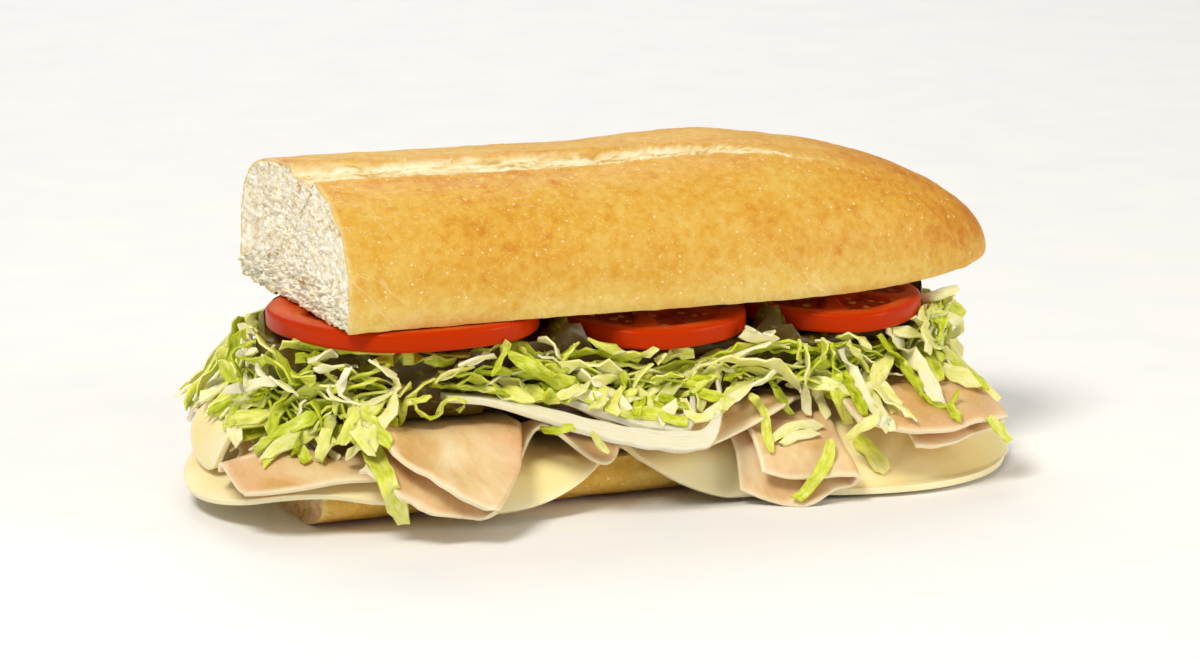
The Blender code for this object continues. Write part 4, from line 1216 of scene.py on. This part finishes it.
# The shreds that show the most, each through a few pixels of the photograph: (pixels, width in mm, how green
# at its two ends, how far it stands off the heap in mm). First those over the cut end and the left tuft.
SEEN_SHREDS = (
    (((365, 438), (378, 463), (390, 488), (404, 524)), 5.0, (0.62, 0.35), 2.0),
    (((286, 423), (311, 439), (339, 459)), 2.2, (0.05, 0.02), 3.6),
    (
        ((371, 361), (388, 373), (399, 384), (386, 396), (361, 404), (338, 400), (328, 387)),
        2.8, (0.2, 0.1), 3.2,
    ),
    (((394, 390), (388, 414), (366, 437), (347, 455)), 4.2, (0.22, 0.28), 2.4),
    (((337, 402), (329, 423), (319, 461)), 3.0, (0.4, 0.3), 2.8),
    (((356, 404), (352, 420), (345, 436)), 2.6, (0.3, 0.0), 3.4),
    (((224, 390), (251, 386), (274, 380), (294, 392)), 3.0, (0.0, 0.1), 3.4),
    (((234, 403), (256, 406), (268, 398)), 3.0, (0.4, 0.45), 2.4),
    (((266, 360), (282, 366), (296, 384)), 4.4, (0.65, 0.6), 2.0),
    (((309, 361), (328, 354), (338, 357)), 2.8, (0.05, 0.02), 2.4),
    (((316, 371), (337, 367), (356, 365)), 2.8, (0.1, 0.2), 2.6),
    (((350, 368), (341, 385), (338, 394), (348, 401)), 2.4, (0.0, 0.05), 3.8),
    (((281, 346), (296, 344), (311, 352)), 3.0, (0.4, 0.45), 1.4),
    (((247, 326), (262, 341), (275, 357)), 3.2, (0.3, 0.4), 1.6),
    (((254, 341), (234, 351), (235, 366), (242, 376)), 1.3, (0.7, 0.7), 2.2),
    (((236, 354), (247, 352), (257, 349)), 2.4, (0.0, 0.05), 2.0),
    (((222, 360), (227, 372), (232, 382)), 3.0, (0.5, 0.6), 2.0),
    (((262, 357), (259, 370), (266, 378)), 2.0, (0.05, 0.1), 2.6),
    (((243, 357), (256, 362), (268, 360)), 3.0, (0.7, 0.6), 1.6),
    (((291, 372), (304, 380), (316, 378)), 3.4, (0.6, 0.5), 2.2),
    (((269, 399), (276, 414), (287, 421)), 4.2, (0.72, 0.7), 2.0),
    (((254, 410), (245, 431), (231, 446)), 3.6, (0.2, 0.15), 1.8),
    (((267, 416), (262, 432), (251, 440)), 3.2, (0.5, 0.4), 1.4),
    (((312, 400), (320, 414), (313, 431)), 4.2, (0.7, 0.65), 1.8),
    (((303, 402), (299, 414), (301, 424)), 3.6, (0.15, 0.1), 1.6),
    (((341, 402), (346, 420), (340, 436)), 2.8, (0.6, 0.65), 2.4),
    (((301, 448), (304, 456), (307, 463)), 3.0, (0.5, 0.65), 1.2),
    (((335, 389), (357, 386), (379, 379)), 2.8, (0.65, 0.5), 1.2),
    (((350, 379), (373, 373), (390, 366)), 2.4, (0.5, 0.6), 0.4),
    # Those in the shade under the tomato.
    (((404, 402), (419, 400), (431, 396)), 2.4, (0.5, 0.45), 1.2),
    (
        ((414, 400), (419, 414), (437, 417), (445, 401), (457, 398), (467, 404), (457, 411)),
        1.2, (0.55, 0.5), 2.2,
    ),
    (((396, 402), (404, 414), (398, 424)), 4.0, (0.6, 0.65), -0.8),
    (((469, 368), (440, 378), (418, 388), (398, 423)), 3.6, (0.4, 0.5), -1.0),
    (((490, 355), (463, 365), (434, 383)), 3.6, (0.25, 0.35), 0.2),
    (((296, 358), (357, 354), (439, 354), (470, 356)), 3.6, (0.65, 0.55), -3.0),
    (((292, 341), (329, 347), (398, 350)), 3.0, (0.55, 0.6), -2.5),
    (((372, 362), (405, 358), (455, 362)), 3.6, (0.5, 0.65), -2.0),
    (((470, 352), (500, 347), (545, 352)), 3.4, (0.6, 0.5), -2.5),
    (((560, 356), (600, 352), (640, 360)), 3.4, (0.65, 0.55), -2.5),
    (((700, 358), (735, 350), (790, 346)), 3.4, (0.55, 0.5), -2.0),
    # Those in the middle, over the onion.
    (((459, 364), (472, 361), (496, 357)), 2.2, (0.02, 0.15), 2.4),
    (((508, 341), (501, 357), (493, 374)), 3.0, (0.5, 0.58), 2.6),
    (((509, 356), (530, 366), (557, 381), (586, 389), (595, 406)), 4.4, (0.62, 0.56), 2.6),
    (((586, 389), (603, 393), (594, 408)), 3.8, (0.5, 0.35), 3.0),
    (((561, 367), (594, 364), (623, 372)), 3.8, (0.3, 0.25), 2.4),
    (((588, 339), (615, 350), (646, 356), (656, 349)), 2.4, (0.5, 0.35), 1.2),
    (((562, 361), (573, 350), (578, 344)), 2.6, (0.55, 0.55), 0.8),
    (((538, 340), (553, 344), (561, 360)), 3.2, (0.15, 0.2), -0.5),
    (((517, 346), (534, 360), (541, 366)), 1.2, (0.55, 0.5), -0.5),
    (((545, 367), (561, 373), (570, 371)), 3.0, (0.6, 0.55), 1.8),
    (((620, 389), (610, 405), (619, 415)), 3.4, (0.42, 0.35), 2.0),
    (((620, 414), (648, 413), (668, 418), (687, 422)), 3.2, (0.5, 0.58), 1.6),
    (((622, 371), (627, 383), (614, 398)), 3.2, (0.58, 0.5), 2.2),
    (((650, 365), (635, 379), (633, 394)), 3.8, (0.35, 0.3), 1.4),
    (((641, 402), (652, 389), (677, 379)), 3.2, (0.25, 0.35), 2.4),
    (((656, 383), (675, 371), (686, 380)), 3.4, (0.72, 0.65), 2.0),
    (((651, 396), (683, 394), (700, 385), (713, 373), (721, 380)), 2.2, (0.42, 0.48), 2.8),
    (((683, 399), (689, 413), (704, 418), (722, 406), (749, 387), (776, 372)), 2.9, (0.3, 0.12), 3.2),
    (((690, 391), (707, 395), (723, 400)), 3.2, (0.72, 0.62), 1.6),
    (((695, 369), (718, 360), (749, 362), (772, 364), (786, 371), (800, 391)), 3.2, (0.3, 0.25), 2.6),
    (((734, 356), (755, 348), (772, 343)), 3.2, (0.1, 0.15), 1.6),
    (((742, 333), (759, 338), (776, 341)), 3.6, (0.15, 0.2), 1.2),
    (((749, 395), (763, 410), (767, 434), (772, 452)), 2.4, (0.42, 0.56), 2.2),
    (((726, 372), (737, 385), (742, 392)), 2.0, (0.55, 0.62), 0.6),
    (((542, 430), (559, 430), (574, 426)), 2.4, (0.7, 0.55), 0.9),
    (((592, 432), (600, 445), (609, 453)), 1.6, (0.45, 0.3), 0.9),
    (((655, 361), (668, 354), (694, 353)), 4.4, (0.42, 0.35), 0.6),
    (((677, 404), (666, 414), (660, 422)), 3.2, (0.1, 0.1), 0.8),
    # The tuft that hangs down on the right.
    (((799, 340), (799, 352), (801, 363)), 1.8, (0.48, 0.48), 2.0),
    (((806, 344), (808, 370), (805, 391), (808, 416)), 2.6, (0.38, 0.15), 2.8),
    (((814, 378), (820, 400), (829, 417)), 2.6, (0.3, 0.2), 2.4),
    (((832, 348), (836, 378), (844, 410), (850, 424)), 4.0, (0.65, 0.45), 2.4),
    (((840, 350), (852, 370), (864, 394), (880, 414), (888, 431)), 3.0, (0.08, 0.2), 3.4),
    (((848, 344), (860, 358), (873, 378), (895, 399)), 3.2, (0.35, 0.28), 2.8),
    (((844, 374), (856, 394), (865, 415)), 2.8, (0.78, 0.72), 2.2),
    (((770, 441), (786, 430), (806, 424), (821, 428)), 2.6, (0.3, 0.2), 2.2),
    (((782, 444), (796, 436), (818, 433)), 2.4, (0.25, 0.2), 1.8),
    (((847, 439), (860, 428), (880, 418), (891, 424)), 2.8, (0.35, 0.25), 3.0),
    (((830, 440), (828, 458), (816, 478), (796, 503)), 3.2, (0.45, 0.6), 1.6),
    (((856, 438), (869, 451), (887, 471)), 4.4, (0.65, 0.25), 2.0),
    (((823, 338), (826, 350), (824, 360)), 2.8, (0.5, 0.48), 2.0),
    (((838, 336), (856, 337), (871, 346)), 2.6, (0.4, 0.3), 2.2),
    (((746, 329), (762, 335), (775, 331)), 3.6, (0.2, 0.15), 0.8),
    (((772, 382), (781, 398), (791, 415)), 2.2, (0.75, 0.8), 0.6),
    (((815, 384), (832, 394), (842, 404)), 3.8, (0.6, 0.55), 0.6),
    (((830, 366), (812, 365), (800, 372)), 4.4, (0.55, 0.6), 0.2),
    (((872, 389), (892, 399), (896, 412)), 3.8, (0.35, 0.25), 2.4),
    (((880, 407), (886, 418), (893, 431)), 2.8, (0.25, 0.15), 2.6),
    (((860, 381), (869, 395), (879, 411)), 4.2, (0.28, 0.25), 2.6),
    # The ribbons over the heel.
    (((878, 335), (896, 356), (912, 376), (923, 393)), 2.8, (0.66, 0.74), 2.6),
    (((888, 332), (906, 350), (924, 370), (934, 393), (941, 403)), 4.0, (0.12, 0.08), 3.0),
    (((892, 330), (920, 335), (941, 350), (970, 376), (998, 400)), 3.4, (0.28, 0.32), 3.2),
    (((920, 393), (936, 405), (950, 406), (958, 390)), 1.3, (0.66, 0.74), 2.6),
    (((950, 405), (955, 413), (958, 421)), 2.6, (0.62, 0.66), 1.8),
    (((989, 417), (1000, 430), (1010, 442)), 2.6, (0.42, 0.48), 1.6),
    (((921, 299), (940, 294), (958, 288)), 2.8, (0.15, 0.2), 2.0),
    (((922, 308), (932, 309), (941, 312)), 2.6, (0.35, 0.4), 2.0),
    (((924, 312), (946, 316), (962, 326), (950, 338)), 2.6, (0.12, 0.15), 2.0),
    (((929, 318), (934, 333), (937, 343)), 2.2, (0.7, 0.62), 2.4),
    (((912, 318), (928, 330), (934, 340)), 3.2, (0.3, 0.35), 2.4),
    (((943, 338), (954, 345), (963, 355)), 2.8, (0.1, 0.15), 2.0),
)

seen = shred_mesh()
for pixels, width, tones, lift in SEEN_SHREDS:
    path = path_seen(pixels, lift / 1000)
    add_shred(seen, path, width / 1000, 0.0006, rng.uniform(-0.4, 0.4), rng.uniform(-0.2, 0.2), tones, rng)
bmesh.ops.recalc_face_normals(seen, faces=seen.faces)
finished("lettuce_front_shreds", seen, lettuce, "lettuce")
